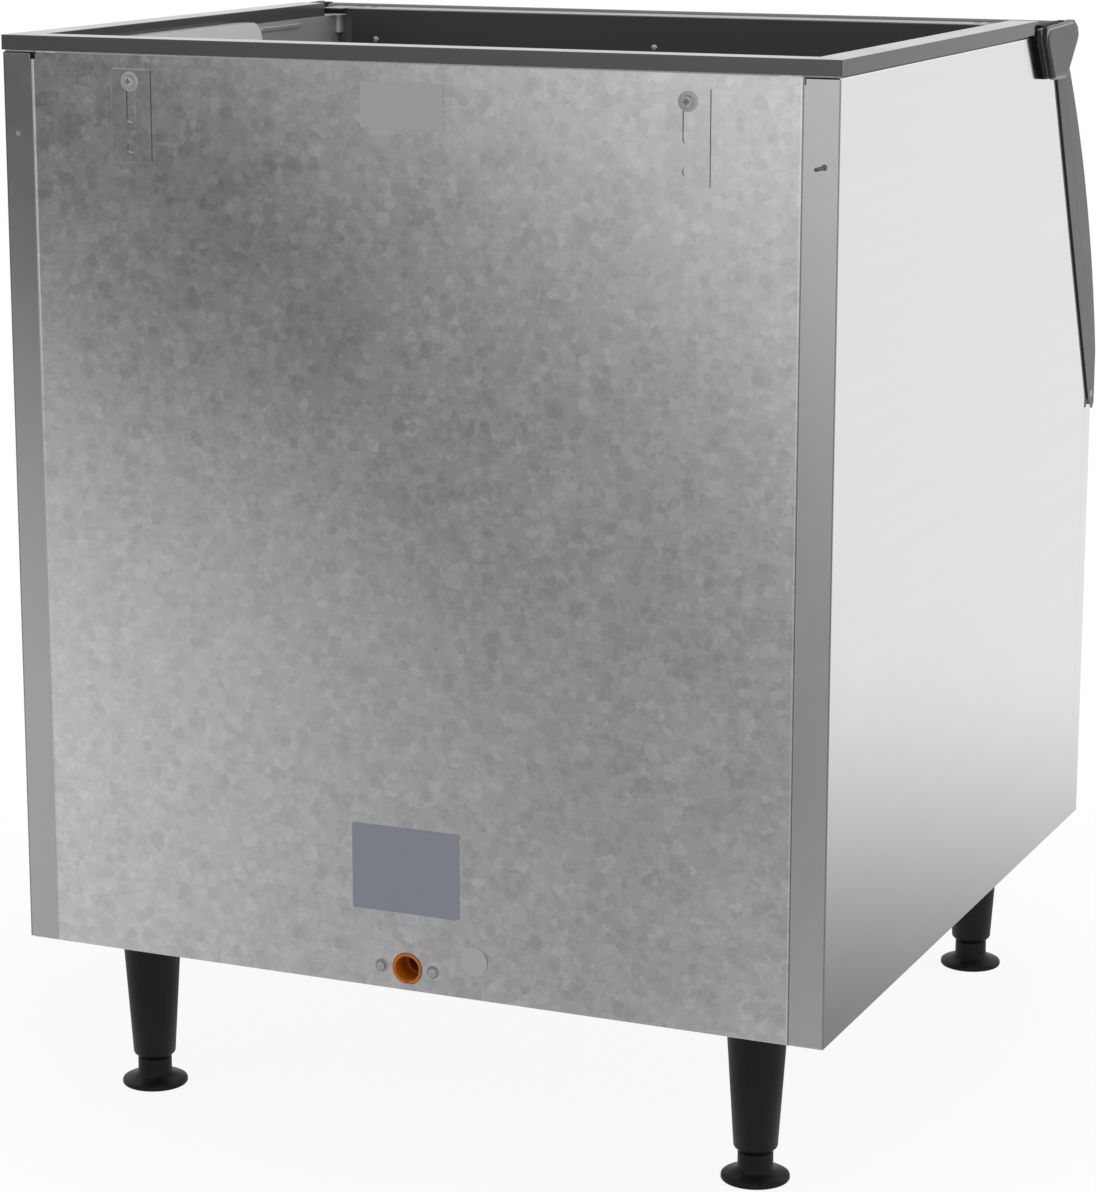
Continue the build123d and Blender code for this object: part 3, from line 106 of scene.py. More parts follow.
class BinColours(PropertyGroup):
    """Base colours of the bin's finishes."""

    galvanised: colour("Galvanised sheet", 209, 209, 209)
    stainless: colour("Brushed stainless", 218, 218, 218)
    header: colour("Header", 137, 137, 138)
    bright_steel: colour("Bright fasteners", 170, 170, 172)
    washer: colour("Washers", 158, 158, 160)
    bracket_steel: colour("Retaining brackets", 205, 205, 205)
    ear_steel: colour("Hinge brackets", 92, 93, 95)
    dull_steel: colour("Sockets and studs", 128, 129, 131)
    rim: colour("Top rim", 82, 82, 82)
    baffle: colour("Baffle and door frame", 50, 50, 51)
    door: colour("Door", 62, 62, 62)
    cap: colour("Hinge caps", 56, 56, 56)
    # Also colours the hinge pads, near-black sheet filling the gap behind each hinge cap: painted shadow
    rubber: colour("Rubber and gap shadow", 14, 14, 14)
    liner: colour("Liner", 190, 191, 191)
    bush: colour("Hinge bushes", 196, 194, 184)
    drain: colour("Drain fitting", 188, 104, 8)
    plug: colour("Hole plug", 178, 178, 178)
    plate_light: colour("Upper blank plate", 169, 170, 170)
    plate_grey: colour("Lower blank plate", 136, 139, 151)
    leg: colour("Legs", 10, 10, 10)
    foam: colour("Insulation foam", 214, 198, 158)


class BinSurfaces(PropertyGroup):
    """Scale and strength of the finishes' detail."""

    flake: length("Zinc flake", "Width of the flakes on the galvanised sheet", 0.0125)
    flake_contrast: share("Flake contrast", "How far light flakes differ from dark ones", 0.13)
    grain: length("Brush line", "Spacing of the brush lines on the stainless sheet", 0.0006)
    skin: length("Moulded grain", "Grain of the moulded plastic", 0.0009)
    edge: length("Edge radius", "Radius that the folded and moulded edges seem to have", 0.0005)
    galvanised_roughness: share("Galvanised roughness", "Roughness of the galvanised sheet", 0.16)
    stainless_roughness: share("Stainless roughness", "Roughness of the stainless sheet", 0.16)


class StudioSettings(PropertyGroup):
    """Camera, lamps and the backdrop."""

    camera_place: FloatVectorProperty(
        name="Camera place",
        description="Where the camera stands",
        subtype="TRANSLATION",
        unit="LENGTH",
        size=3,
        precision=5,
        default=(-1.28446, 3.04168, 1.15999),
    )
    camera_turn: FloatVectorProperty(
        name="Camera turn",
        description="Which way the camera points",
        subtype="EULER",
        unit="ROTATION",
        size=3,
        precision=5,
        default=tuple(math.radians(a) for a in (77.41975, -0.04910, -156.48023)),
    )
    focal_length: FloatProperty(
        name="Focal length", description="Camera lens in millimetres", min=1, default=107.28
    )
    fill: share("Fill light", "Strength of the even light from all round", 0.62)
    backdrop: share("Backdrop", "Brightness of the backdrop, where 1 is white", 1.0)
    key_power: power("Key lamp", "Power of the large soft lamp", 26)
    side_power: power("Side lamp", "Power of the soft lamp beside the bin", 16)
    floor_radius: length("Floor radius", "Reach of the pale floor round the bin", 9.0)


# Small tools for building materials

def empty_tree(owner):
    """The emptied shader tree of a new material or world."""
    owner.use_nodes = True
    owner.node_tree.nodes.clear()
    return owner.node_tree


def add(tree, kind, feeds=None, **settings):
    """A shader node with its settings, and each named input set to a value or fed by a socket."""
    made = tree.nodes.new(kind)
    for name, value in settings.items():
        setattr(made, name, value)
    for name, value in (feeds or {}).items():
        target = made.inputs[name]
        if isinstance(value, bpy.types.NodeSocket):
            tree.links.new(value, target)
        else:
            target.default_value = value
    return made


def maths(tree, operation, first, second=0.0, clamp=False):
    """One arithmetic step."""
    made = add(tree, "ShaderNodeMath", {0: first, 1: second}, operation=operation, use_clamp=clamp)
    return made.outputs[0]


def product(tree, first, second, clamp=False):
    """Two values multiplied."""
    return maths(tree, "MULTIPLY", first, second, clamp)


def vector_maths(tree, operation, first, second=(0.0, 0.0, 0.0)):
    """One step with vectors. A dot product or a length gives a single value."""
    made = add(tree, "ShaderNodeVectorMath", {0: first, 1: second}, operation=operation)
    return made.outputs["Value" if operation in ("DOT_PRODUCT", "LENGTH") else "Vector"]


def noise(tree, place, scale, detail, roughness=0.5):
    """The outputs of noise at a place."""
    feeds = {"Vector": place, "Scale": scale, "Detail": detail, "Roughness": roughness}
    return add(tree, "ShaderNodeTexNoise", feeds).outputs


def blended(tree, first, part, second):
    """Two values added, the first by its part and the second by the rest."""
    rest = product(tree, second, 1 - part)
    return maths(tree, "ADD", product(tree, first, part), rest)


# A colour mix's amount, first colour and second colour among its inputs, and its result
MIX_AMOUNT, MIX_FIRST, MIX_SECOND, MIX_RESULT = 0, 6, 7, 2


def mixed(tree, amount, first, second):
    """Two colours mixed by an amount."""
    feeds = {MIX_AMOUNT: amount, MIX_FIRST: opaque(first), MIX_SECOND: opaque(second)}
    made = add(tree, "ShaderNodeMix", feeds, data_type="RGBA", clamp_factor=True)
    return made.outputs[MIX_RESULT]


def opaque(value):
    """A colour with its alpha, or a socket as it is."""
    return value if isinstance(value, bpy.types.NodeSocket) else (*value[:3], 1.0)


def spread(tree, value, low, high, to_low=0.0, to_high=1.0):
    """A value taken from one range to another, and held inside it."""
    feeds = {0: value, 1: low, 2: high, 3: to_low, 4: to_high}
    return add(tree, "ShaderNodeMapRange", feeds, clamp=True).outputs[0]


def new_group(name, inputs, outputs):
    """An empty node group with named inputs and outputs."""
    group = bpy.data.node_groups.new(name, "ShaderNodeTree")
    for title, default in inputs.items():
        kind = "NodeSocketVector" if isinstance(default, tuple) else "NodeSocketFloat"
        group.interface.new_socket(title, in_out="INPUT", socket_type=kind).default_value = default
    for title, kind in outputs.items():
        group.interface.new_socket(title, in_out="OUTPUT", socket_type=kind)
    source = group.nodes.new("NodeGroupInput")
    target = group.nodes.new("NodeGroupOutput")
    return group, source.outputs, target.inputs


def object_place(tree):
    """The point on the bin that is being shaded, in metres."""
    return tree.nodes.new("ShaderNodeTexCoord").outputs["Object"]


def wandered(tree, place, scale, reach, detail=2.0):
    """A place pushed about by noise."""
    drift = noise(tree, place, scale, detail)["Color"]
    centred = vector_maths(tree, "SUBTRACT", drift, (0.5, 0.5, 0.5))
    pushed = add(tree, "ShaderNodeVectorMath", {0: centred, "Scale": reach}, operation="SCALE")
    return vector_maths(tree, "ADD", place, pushed.outputs[0])


TONE_AND_HEIGHT = {"Tone": "NodeSocketFloat", "Height": "NodeSocketFloat"}

# Flake layers: how much finer than the flake size, which random channel, and weight; then how
# many tones they have, where a lobe ends, and the share of fine speck in the relief
FLAKE_LAYERS = ((0.62, 0, 0.2), (1.0, 1, 0.22), (1.45, 2, 0.2), (2.2, 0, 0.14))
FLAKE_TONES = 2.6
LOBE_EDGE = (0.46, 0.48)
SPECK_SHARE = 0.35


def zinc_flakes_group():
    """Round-lobed flakes of different tone lying over each other, as hot-dip zinc leaves them."""
    group, given, result = new_group(
        "zinc flakes",
        {"Flake Size": 0.0125, "Raggedness": 0.3},
        TONE_AND_HEIGHT,
    )
    per_metre = maths(group, "DIVIDE", 1.0, given["Flake Size"])
    reach = product(group, given["Flake Size"], given["Raggedness"])
    place = object_place(group)
    ragged = wandered(group, place, product(group, per_metre, 1.6), reach, 3.0)
    tone = 0.5
    for size, part, weight in FLAKE_LAYERS:
        feeds = {"Vector": ragged, "Scale": product(group, per_metre, size)}
        cells = add(group, "ShaderNodeTexVoronoi", feeds, feature="F1").outputs
        split = add(group, "ShaderNodeSeparateColor", {0: cells["Color"]}).outputs
        drawn = product(group, maths(group, "SUBTRACT", split[part], 0.5), FLAKE_TONES)
        lobe = spread(group, cells["Distance"], *LOBE_EDGE, 1.0, 0.0)
        shade = product(group, maths(group, "ROUND", drawn), lobe)
        tone = maths(group, "ADD", tone, product(group, shade, weight))
    group.links.new(tone, result["Tone"])
    speck = noise(group, place, product(group, per_metre, 9.0), 3.0)["Fac"]
    height = maths(group, "ADD", tone, product(group, speck, SPECK_SHARE))
    group.links.new(height, result["Height"])
    return group


def brush_lines_group():
    """Fine parallel scratches of brushed sheet. Stretch squeezes the pattern across the lines."""
    group, given, result = new_group(
        "brush lines",
        {"Line Spacing": 0.0006, "Stretch": (0.02, 0.02, 1.0)},
        TONE_AND_HEIGHT,
    )
    squeezed = vector_maths(group, "MULTIPLY", object_place(group), given["Stretch"])
    per_metre = maths(group, "DIVIDE", 1.0, given["Line Spacing"])
    lines = noise(group, squeezed, per_metre, 3.0, 0.65)["Fac"]
    bands = noise(group, squeezed, product(group, per_metre, 0.06), 2.0)["Fac"]
    group.links.new(blended(group, lines, 0.6, bands), result["Tone"])
    group.links.new(lines, result["Height"])
    return group


def moulded_skin_group():
    """Fine stipple and slow shade drift of a moulded plastic or powder-coated skin."""
    group, given, result = new_group(
        "moulded skin",
        {"Grain Size": 0.0009},
        TONE_AND_HEIGHT,
    )
    per_metre = maths(group, "DIVIDE", 1.0, given["Grain Size"])
    place = object_place(group)
    stipple = noise(group, place, per_metre, 2.0, 0.6)["Fac"]
    drift = noise(group, place, 14.0, 4.0)["Fac"]
    group.links.new(blended(group, stipple, 0.35, drift), result["Tone"])
    group.links.new(stipple, result["Height"])
    return group


def edge_wear_group():
    """Rounded normal at sharp edges, and a broken mask of where handling has polished them."""
    group, given, result = new_group(
        "edge wear",
        {"Radius": 0.0005, "Breakup": 220.0},
        {"Mask": "NodeSocketFloat", "Normal": "NodeSocketVector"},
    )
    rounded = add(group, "ShaderNodeBevel", {"Radius": given["Radius"]}, samples=6).outputs["Normal"]
    flat = group.nodes.new("ShaderNodeNewGeometry").outputs["Normal"]
    turned = spread(group, vector_maths(group, "DOT_PRODUCT", rounded, flat), 0.985, 0.80)
    breaks = noise(group, object_place(group), given["Breakup"], 3.0)["Fac"]
    broken = spread(group, breaks, 0.42, 0.62)
    group.links.new(product(group, turned, broken, True), result["Mask"])
    group.links.new(rounded, result["Normal"])
    return group


def smudges_group():
    """Slow cloudy mask of wiping and handling, and dust that settles on what faces up."""
    group, given, result = new_group(
        "smudges and dust",
        {"Cloud Size": 0.12},
        {"Smudge": "NodeSocketFloat", "Dust": "NodeSocketFloat"},
    )
    per_metre = maths(group, "DIVIDE", 1.0, given["Cloud Size"])
    place = wandered(group, object_place(group), 6.0, 0.05)
    cloud = noise(group, place, per_metre, 5.0, 0.6)["Fac"]
    group.links.new(spread(group, cloud, 0.35, 0.7), result["Smudge"])
    normal = group.nodes.new("ShaderNodeNewGeometry").outputs["Normal"]
    upward = add(group, "ShaderNodeSeparateXYZ", {0: normal}).outputs["Z"]
    lying = spread(group, upward, 0.6, 1.0)
    fluff = noise(group, place, 60.0, 6.0)["Fac"]
    group.links.new(product(group, lying, spread(group, fluff, 0.4, 0.75)), result["Dust"])
    return group


def band_group():
    """Mask of a narrow band between two planes along one axis, crisp on both sides."""
    group, given, result = new_group(
        "narrow band",
        {"Axis": (1.0, 0.0, 0.0), "From": 0.0, "To": 1.0, "Softness": 0.0003},
        {"Mask": "NodeSocketFloat"},
    )
    along = vector_maths(group, "DOT_PRODUCT", object_place(group), given["Axis"])
    past = maths(group, "SUBTRACT", along, given["From"])
    before = maths(group, "SUBTRACT", given["To"], along)
    inside = [maths(group, "DIVIDE", gap, given["Softness"], True) for gap in (past, before)]
    group.links.new(product(group, *inside), result["Mask"])
    return group


GROUPS = {}

# How far a surface may turn from a painted shade's direction, as cosines of no tint and of full tint
SHADE_RANGE = (0.35, 0.95)


def grouped(tree, name, **values):
    """A shared effect placed in a material with its own values."""
    makers = {
        "flakes": zinc_flakes_group,
        "lines": brush_lines_group,
        "skin": moulded_skin_group,
        "edges": edge_wear_group,
        "smudges": smudges_group,
        "band": band_group,
    }
    if name not in GROUPS:
        GROUPS[name] = makers[name]()
    made = tree.nodes.new("ShaderNodeGroup")
    made.node_tree = GROUPS[name]
    for title, value in values.items():
        made.inputs[title.replace("_", " ")].default_value = value
    return made.outputs


def finish(
    name,
    base,
    pattern,
    roughness,
    metallic=0.0,
    contrast=0.12,
    relief=0.00002,
    rough_change=0.06,
    wear=0.25,
    wear_colour=None,
    dust=0.05,
    edge=None,
    specular=0.5,
    bands=(),
    shades=(),
    mirrored=True,
):
    """A material whose colour, roughness and relief follow one pattern, edge wear and dust.

    Each band is (axis, from, to, second axis, from, to, colour, strength), in metres, and is
    a strip of painted light or painted shade. Each shade is (direction, colour, strength) and
    paints what faces that way lighter or darker, as light would fall. A surface that
    is not mirrored is left out of other surfaces' reflections, as a retoucher does with
    double images in bright sheet.
    """
    surfaces = bpy.context.scene.bin_surfaces
    material = bpy.data.materials.new(name)
    tree = empty_tree(material)
    kind, values = pattern
    grain = grouped(tree, kind, **values)
    edges = grouped(tree, "edges", Radius=edge if edge is not None else surfaces.edge)
    marks = grouped(tree, "smudges")
    dark = tuple(c * (1 - contrast) for c in base)
    light = tuple(min(1.0, c * (1 + contrast)) for c in base)
    tinted = mixed(tree, grain["Tone"], dark, light)
    if wear_colour is None:
        wear_colour = tuple(min(1.0, c * 1.7 + 0.02) for c in base)
    worn = mixed(tree, product(tree, edges["Mask"], wear), tinted, wear_colour)
    dust_and_painted_light = mixed(tree, product(tree, marks["Dust"], dust), worn, paint(176, 174, 168))
    # Painted light and shade: each band mixes a lit or shaded colour into a narrow strip
    for axis, low, high, cross_axis, cross_low, cross_high, band_colour, strength in bands:
        first = grouped(tree, "band", Axis=axis, From=low, To=high)["Mask"]
        second = grouped(tree, "band", Axis=cross_axis, From=cross_low, To=cross_high)["Mask"]
        amount = product(tree, product(tree, first, second), strength)
        dust_and_painted_light = mixed(tree, amount, dust_and_painted_light, band_colour)
    # Painted light and shade: faces turned along a shade's direction are tinted lighter or darker
    normal = tree.nodes.new("ShaderNodeTexCoord").outputs["Normal"] if shades else None
    for direction, tint, strength in shades:
        facing = vector_maths(tree, "DOT_PRODUCT", normal, direction)
        amount = product(tree, spread(tree, facing, *SHADE_RANGE), strength)
        dust_and_painted_light = mixed(tree, amount, dust_and_painted_light, tint)
    shift = maths(tree, "SUBTRACT", marks["Smudge"], 0.5)
    rough = maths(tree, "MULTIPLY_ADD", shift, rough_change)
    rough.node.inputs[2].default_value = roughness
    tone_shift = maths(tree, "MULTIPLY_ADD", grain["Tone"], rough_change)
    tone_shift.node.inputs[2].default_value = -rough_change / 2
    final_rough = maths(tree, "ADD", rough, tone_shift, True)
    feeds = {"Height": grain["Height"], "Normal": edges["Normal"], "Strength": 1.0, "Distance": relief}
    bumped = add(tree, "ShaderNodeBump", feeds).outputs["Normal"]
    feeds = {"Base Color": dust_and_painted_light, "Roughness": final_rough, "Metallic": metallic, "Normal": bumped}
    shader = add(tree, "ShaderNodeBsdfPrincipled", feeds)
    shader.inputs["Specular IOR Level"].default_value = specular
    output = tree.nodes.new("ShaderNodeOutputMaterial")
    if not mirrored:
        path = tree.nodes.new("ShaderNodeLightPath").outputs
        clear = tree.nodes.new("ShaderNodeBsdfTransparent")
        feeds = {0: path["Is Glossy Ray"], 1: shader.outputs[0], 2: clear.outputs[0]}
        shader = add(tree, "ShaderNodeMixShader", feeds)
    tree.links.new(shader.outputs[0], output.inputs["Surface"])
    return material


def dress(material, *names):
    """Gives a material to carried-over solids."""
    for name in names:
        mesh = nodes[name].data
        mesh.materials.clear()
        mesh.materials.append(material)


# Small tools for modelled pieces, their shapes in millimetres until they are placed

SMOOTH_BELOW = math.radians(32)
SHARP_ABOVE = math.radians(40)
MERGE_WITHIN = 0.001


def lathe(rows, turns=64, closed=False):
    """A turned body from (radius, height) rows, its axis upright."""
    shape = bmesh.new()
    corners = [shape.verts.new((radius, 0.0, height)) for radius, height in rows]
    pairs = list(zip(corners, corners[1:]))
    if closed:
        pairs.append((corners[-1], corners[0]))
    for pair in pairs:
        shape.edges.new(pair)
    bmesh.ops.spin(
        shape,
        geom=shape.verts[:] + shape.edges[:],
        cent=(0, 0, 0),
        dvec=(0, 0, 0),
        axis=UP,
        angle=math.tau,
        steps=turns,
        use_merge=True,
    )
    bmesh.ops.remove_doubles(shape, verts=shape.verts[:], dist=MERGE_WITHIN)
    bmesh.ops.recalc_face_normals(shape, faces=shape.faces[:])
    return shape


def round_off(shape, parts, size, steps, affect="EDGES"):
    """Rounds some edges or corners of a shape."""
    bmesh.ops.bevel(
        shape, geom=parts, offset=size, segments=steps, profile=0.5,
        affect=affect, material=-1, clamp_overlap=True,
    )


def crossed_head(radius, height):
    """A domed screw head with a cross recess, its seat at zero height."""
    rows = [(0.0, 0.0), (radius, 0.0)]
    rows += [(radius * out, height * rise) for out, rise in HEAD_DOME]
    shape = lathe(rows, turns=32)
    rim = [edge for edge in shape.edges if edge.is_boundary]
    corners = []
    for quarter in range(4):
        turn = Matrix.Rotation(quarter * math.pi / 2, 3, "Z")
        for x, y in ((CROSS_REACH, -CROSS_ARM), (CROSS_REACH, CROSS_ARM), (CROSS_ARM, CROSS_ARM)):
            corners.append(shape.verts.new(turn @ Vector((x * radius, y * radius, height))))
    cross = [shape.edges.new(pair) for pair in zip(corners, corners[1:] + corners[:1])]
    bmesh.ops.bridge_loops(shape, edges=rim + cross)
    floor = shape.faces.new(corners)
    sunk = bmesh.ops.extrude_face_region(shape, geom=[floor])["geom"]
    low = [vert for vert in sunk if isinstance(vert, bmesh.types.BMVert)]
    bmesh.ops.translate(shape, verts=low, vec=(0, 0, -height * CROSS_DEPTH))
    bmesh.ops.recalc_face_normals(shape, faces=shape.faces[:])
    return shape


# Screw head: (share of the radius, share of the height) up its dome, then its cross recess
HEAD_DOME = ((1.0, 0.22), (0.97, 0.48), (0.88, 0.76), (0.74, 0.93), (0.62, 1.0))
CROSS_REACH = 0.54
CROSS_ARM = 0.14
CROSS_DEPTH = 0.62

# Shares of a washer's thickness, of a hexagon head's height and width, and of a shank's radius
WASHER_EDGE = 0.28
HEX_CHAMFER = 0.2
HEX_SINK = 0.06
HEX_RING = 0.08
THREAD_ROOT = 0.86
THREAD_LEAD = 0.4
THREAD_TIP = 0.5


def screw(seat, facing, head, reach, hexagon=False):
    """The head and the threaded shank of a crossed screw or of a hexagon bolt."""
    radius, height, shank_radius = head
    top = hex_head(radius * 2, height) if hexagon else crossed_head(radius, height)
    return [stood(top, seat, facing), stood(shank(shank_radius, reach), seat, facing)]


def washer(inner, outer, thickness):
    """A flat washer with rounded edges, its seat at zero height."""
    rows = ((inner, 0.0), (outer, 0.0), (outer, thickness), (inner, thickness))
    shape = lathe(rows, turns=48, closed=True)
    sharp = [edge for edge in shape.edges if edge.calc_face_angle(0.0) > SHARP_ABOVE]
    round_off(shape, sharp, thickness * WASHER_EDGE, 2)
    return shape


def hex_head(across, height):
    """A hexagon bolt head with a chamfered crown and a round boss, its seat at zero height."""
    shape = bmesh.new()
    bmesh.ops.create_cone(
        shape, cap_ends=True, segments=6, radius1=across / 2, radius2=across / 2, depth=height
    )
    bmesh.ops.translate(shape, verts=shape.verts[:], vec=(0, 0, height / 2))
    crown = max(shape.faces, key=lambda face: face.calc_center_median().z)
    round_off(shape, crown.edges[:], height * HEX_CHAMFER, 2)
    crown = max(shape.faces, key=lambda face: face.calc_center_median().z)
    bmesh.ops.inset_region(shape, faces=[crown], thickness=across * HEX_RING, depth=-height * HEX_SINK)
    return shape


def rounded_outline(corners, radii, steps=6):
    """Points round a convex outline with rounded corners, each with its outward direction."""
    rows = []
    for index, radius in enumerate(radii):
        corner = Vector(corners[index])
        before = (corner - Vector(corners[index - 1])).normalized()
        after = (Vector(corners[(index + 1) % len(corners)]) - corner).normalized()
        first, last = Vector((before.y, -before.x)), Vector((after.y, -after.x))
        centre = corner - (first + last) * radius / (1 + first.dot(last))
        for step in range(steps + 1):
            outward = first.slerp(last, step / steps)
            rows.append((centre + outward * radius, outward))
    return rows


def moulded_cap(corners, thickness, side):
    """A hinge cap with a lip, a groove, a rounded outer edge and a slot in its rear end."""
    outline = rounded_outline(corners, CAP_RADII)
    run = (Vector(corners[0]) - Vector(corners[-1])).normalized()
    rear = Vector((run.y, -run.x))
    shape = bmesh.new()
    loops = [
        [shape.verts.new((side * reach, *(point - outward * inset))) for point, outward in outline]
        for reach, inset in CAP_LIP
    ]
    for step in range(CAP_STEPS + 1):
        angle = step / CAP_STEPS * math.pi / 2
        loop = []
        for point, outward in outline:
            size = CAP_EDGE * (1 - 0.8 * max(0.0, min(1.0, outward.dot(rear) * 2 - 1)))
            reach = thickness - size * (1 - math.sin(angle))
            spot = point - outward * size * (1 - math.cos(angle))
            loop.append(shape.verts.new((side * reach, *spot)))
        loops.append(loop)
    crown = [Vector(vert.co) for vert in loops[-1]]
    middle = sum(crown, Vector()) / len(crown)
    loops.append([shape.verts.new(point.lerp(middle, CAP_FLAT)) for point in crown])
    for near, far in zip(loops, loops[1:]):
        for index in range(len(outline)):
            shape.faces.new((near[index - 1], near[index], far[index], far[index - 1]))
    shape.faces.new(loops[0])
    shape.faces.new(loops[-1])
    bmesh.ops.recalc_face_normals(shape, faces=shape.faces[:])
    behind = Vector((0, *rear))

    def rear_wall():
        outer = [face for face in shape.faces if abs(face.calc_center_median().x) > CAP_LIP[-1][0]]
        return max(outer, key=lambda face: (face.normal.dot(behind) > 0.99) * face.calc_area())

    wall = rear_wall()
    bmesh.ops.inset_individual(shape, faces=[wall], thickness=CAP_SLOT_MARGIN)
    round_off(shape, rear_wall().verts[:], CAP_SLOT_ROUND, 4, "VERTICES")
    sunk = bmesh.ops.extrude_discrete_faces(shape, faces=[rear_wall()])["faces"]
    bmesh.ops.translate(shape, verts=sunk[0].verts[:], vec=-behind * CAP_SLOT_DEPTH)
    bmesh.ops.recalc_face_normals(shape, faces=shape.faces[:])
    return shape


def stood(shape, place, facing=UP):
    """Turns an upright shape to a direction, brings it to metres and moves it to its place."""
    turn = Vector(UP).rotation_difference(Vector(facing)).to_matrix().to_4x4()
    matrix = Matrix.Translation(place) @ turn @ Matrix.Scale(MM, 4)
    bmesh.ops.transform(shape, matrix=matrix, verts=shape.verts[:])
    return shape


def mesh_of(name, shape):
    """A shape as a new mesh."""
    mesh = bpy.data.meshes.new(name)
    shape.to_mesh(mesh)
    shape.free()
    return mesh


def in_scene(name, data):
    """A new object in the scene."""
    made = bpy.data.objects.new(name, data)
    bpy.context.scene.collection.objects.link(made)
    return made


def joined(shapes):
    """Several shapes as one."""
    whole = bmesh.new()
    for shape in shapes:
        mesh = mesh_of("share", shape)
        whole.from_mesh(mesh)
        bpy.data.meshes.remove(mesh)
    return whole


def set_piece(name, shape, material, body, slot, *stands_for):
    """A modelled piece on its body, in place of the plain solids that it stands for."""
    if not shape.faces:
        raise RuntimeError(f"{name} has no faces")
    for face in shape.faces:
        face.smooth = True
    for edge in shape.edges:
        edge.smooth = edge.calc_face_angle(0.0) < SMOOTH_BELOW
    mesh = mesh_of(name, shape)
    mesh.materials.append(bpy.data.materials[material])
    piece = in_scene(name, mesh)
    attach(piece, body)
    if stands_for:
        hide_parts(*stands_for)
    return piece


def box_of(node):
    """A solid's lowest corner, highest corner and middle."""
    low, high = (Vector(corner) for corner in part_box(node))
    return low, high, (low + high) / 2


# One operator for each family of finishes

# Light and shade along folded edges: how far each line reaches from its edge, in metres
LEDGE = 1.0 * MM
JOINT_SHADOW = 2.8 * MM
JOINT_GLEAM = 4.4 * MM
POST_SHADE = 1.6 * MM
CORNER_LINE = 1.4 * MM
TOP_LINE = 1.3 * MM
TOP_LINE_DROP = 0.9 * MM
LIP_LINE = 0.8 * MM
RIM_LINE = 0.6 * MM
HIGHLIGHT_LINE = 0.9 * MM
HOLE_SHADE = 4.0 * MM


class BIN_OT_sheet_metal(Operator):
    """Galvanised back and base, brushed stainless sides, front and header"""

    bl_idname = "bin.sheet_metal"
    bl_label = "Finish sheet metal"

    def execute(self, context):
        colours, surfaces = context.scene.bin_colours, context.scene.bin_surfaces
        flakes = {"Flake_Size": surfaces.flake, "Raggedness": 0.55}
        low, high, middle = box_of("side_panel_left")
        lip_x, back_y, outer = high.x, high.y, -low.x
        heights = (UP, low.z - LEDGE * 3, high.z)
        # Painted shadow along the inner edge of the -X rear post on the back panel, and a painted
        # highlight strip beside it
        shadow_x, gleam_x = lip_x + JOINT_SHADOW, lip_x + JOINT_GLEAM
        painted_joint_shadow = (ACROSS, lip_x, shadow_x, *heights, paint(96, 96, 98), 0.75)
        painted_joint_gleam = (ACROSS, shadow_x, gleam_x, *heights, WHITE, 0.3)
        galvanised = finish(
            "galvanised sheet",
            colours.galvanised,
            ("flakes", flakes),
            surfaces.galvanised_roughness,
            metallic=1.0,
            contrast=surfaces.flake_contrast,
            relief=0.0000015,
            rough_change=0.02,
            wear=0.15,
            dust=0.03,
            bands=(painted_joint_shadow, painted_joint_gleam),
        )
        dress(galvanised, "rear_panel", "base_pan", "leg_sockets")
        bracket = finish(
            "bracket sheet",
            colours.bracket_steel,
            ("flakes", flakes),
            surfaces.galvanised_roughness,
            metallic=1.0,
            contrast=surfaces.flake_contrast * 0.7,
            relief=0.000004,
            rough_change=0.02,
            wear=0.05,
            dust=0.03,
            # painted shade: the edge and slot walls that face +X and -X are tinted near black
            shades=((ACROSS, BLACK, 0.85), ((-1, 0, 0), BLACK, 0.85)),
            edge=0.2 * MM,
            mirrored=False,
        )
        dress(bracket, "retaining_bracket_left", "retaining_bracket_right")
        # Painted light and shade on the stainless sides: the posts' rear faces darker, the +X post
        # darker still, a grey line on each rear outer corner as the bend's painted reflection, and a
        # white painted highlight along each top edge
        back = (BACK, back_y - POST_SHADE, back_y + LEDGE)
        painted_fold_lines = [
            (*back, UP, low.z - LEDGE, high.z + LEDGE, BLACK, 0.24),
            (ACROSS, -lip_x, outer + LEDGE, *back, BLACK, 0.16),
        ]
        for side in (-1, 1):
            outward = (side, 0, 0)
            corner = (outward, outer - CORNER_LINE, outer + LEDGE)
            behind = (BACK, back_y - LEDGE / 2, back_y + LEDGE)
            painted_fold_lines.append((*corner, *behind, paint(120, 120, 122), 0.7))
            edge = (outward, outer - TOP_LINE, outer + LEDGE)
            above = (UP, high.z - TOP_LINE_DROP, high.z + LEDGE)
            painted_fold_lines.append((*edge, *above, WHITE, 0.8))
        brushed = {
            "metallic": 1.0, "contrast": 0.05, "relief": 0.0000012, "rough_change": 0.025, "wear": 0.3,
        }
        stainless = finish(
            "brushed stainless",
            colours.stainless,
            ("lines", {"Line_Spacing": surfaces.grain, "Stretch": (1.0, 0.015, 1.0)}),
            surfaces.stainless_roughness,
            dust=0.02,
            bands=painted_fold_lines,
            mirrored=False,
            **brushed,
        )
        dress(stainless, "side_panel_left", "side_panel_right", "front_panel")
        cross = finish(
            "brushed header",
            colours.header,
            ("lines", {"Line_Spacing": surfaces.grain, "Stretch": (0.015, 1.0, 1.0)}),
            0.34,
            dust=0.04,
            **brushed,
        )
        dress(cross, "header", "header_corner_plates")
        return {"FINISHED"}


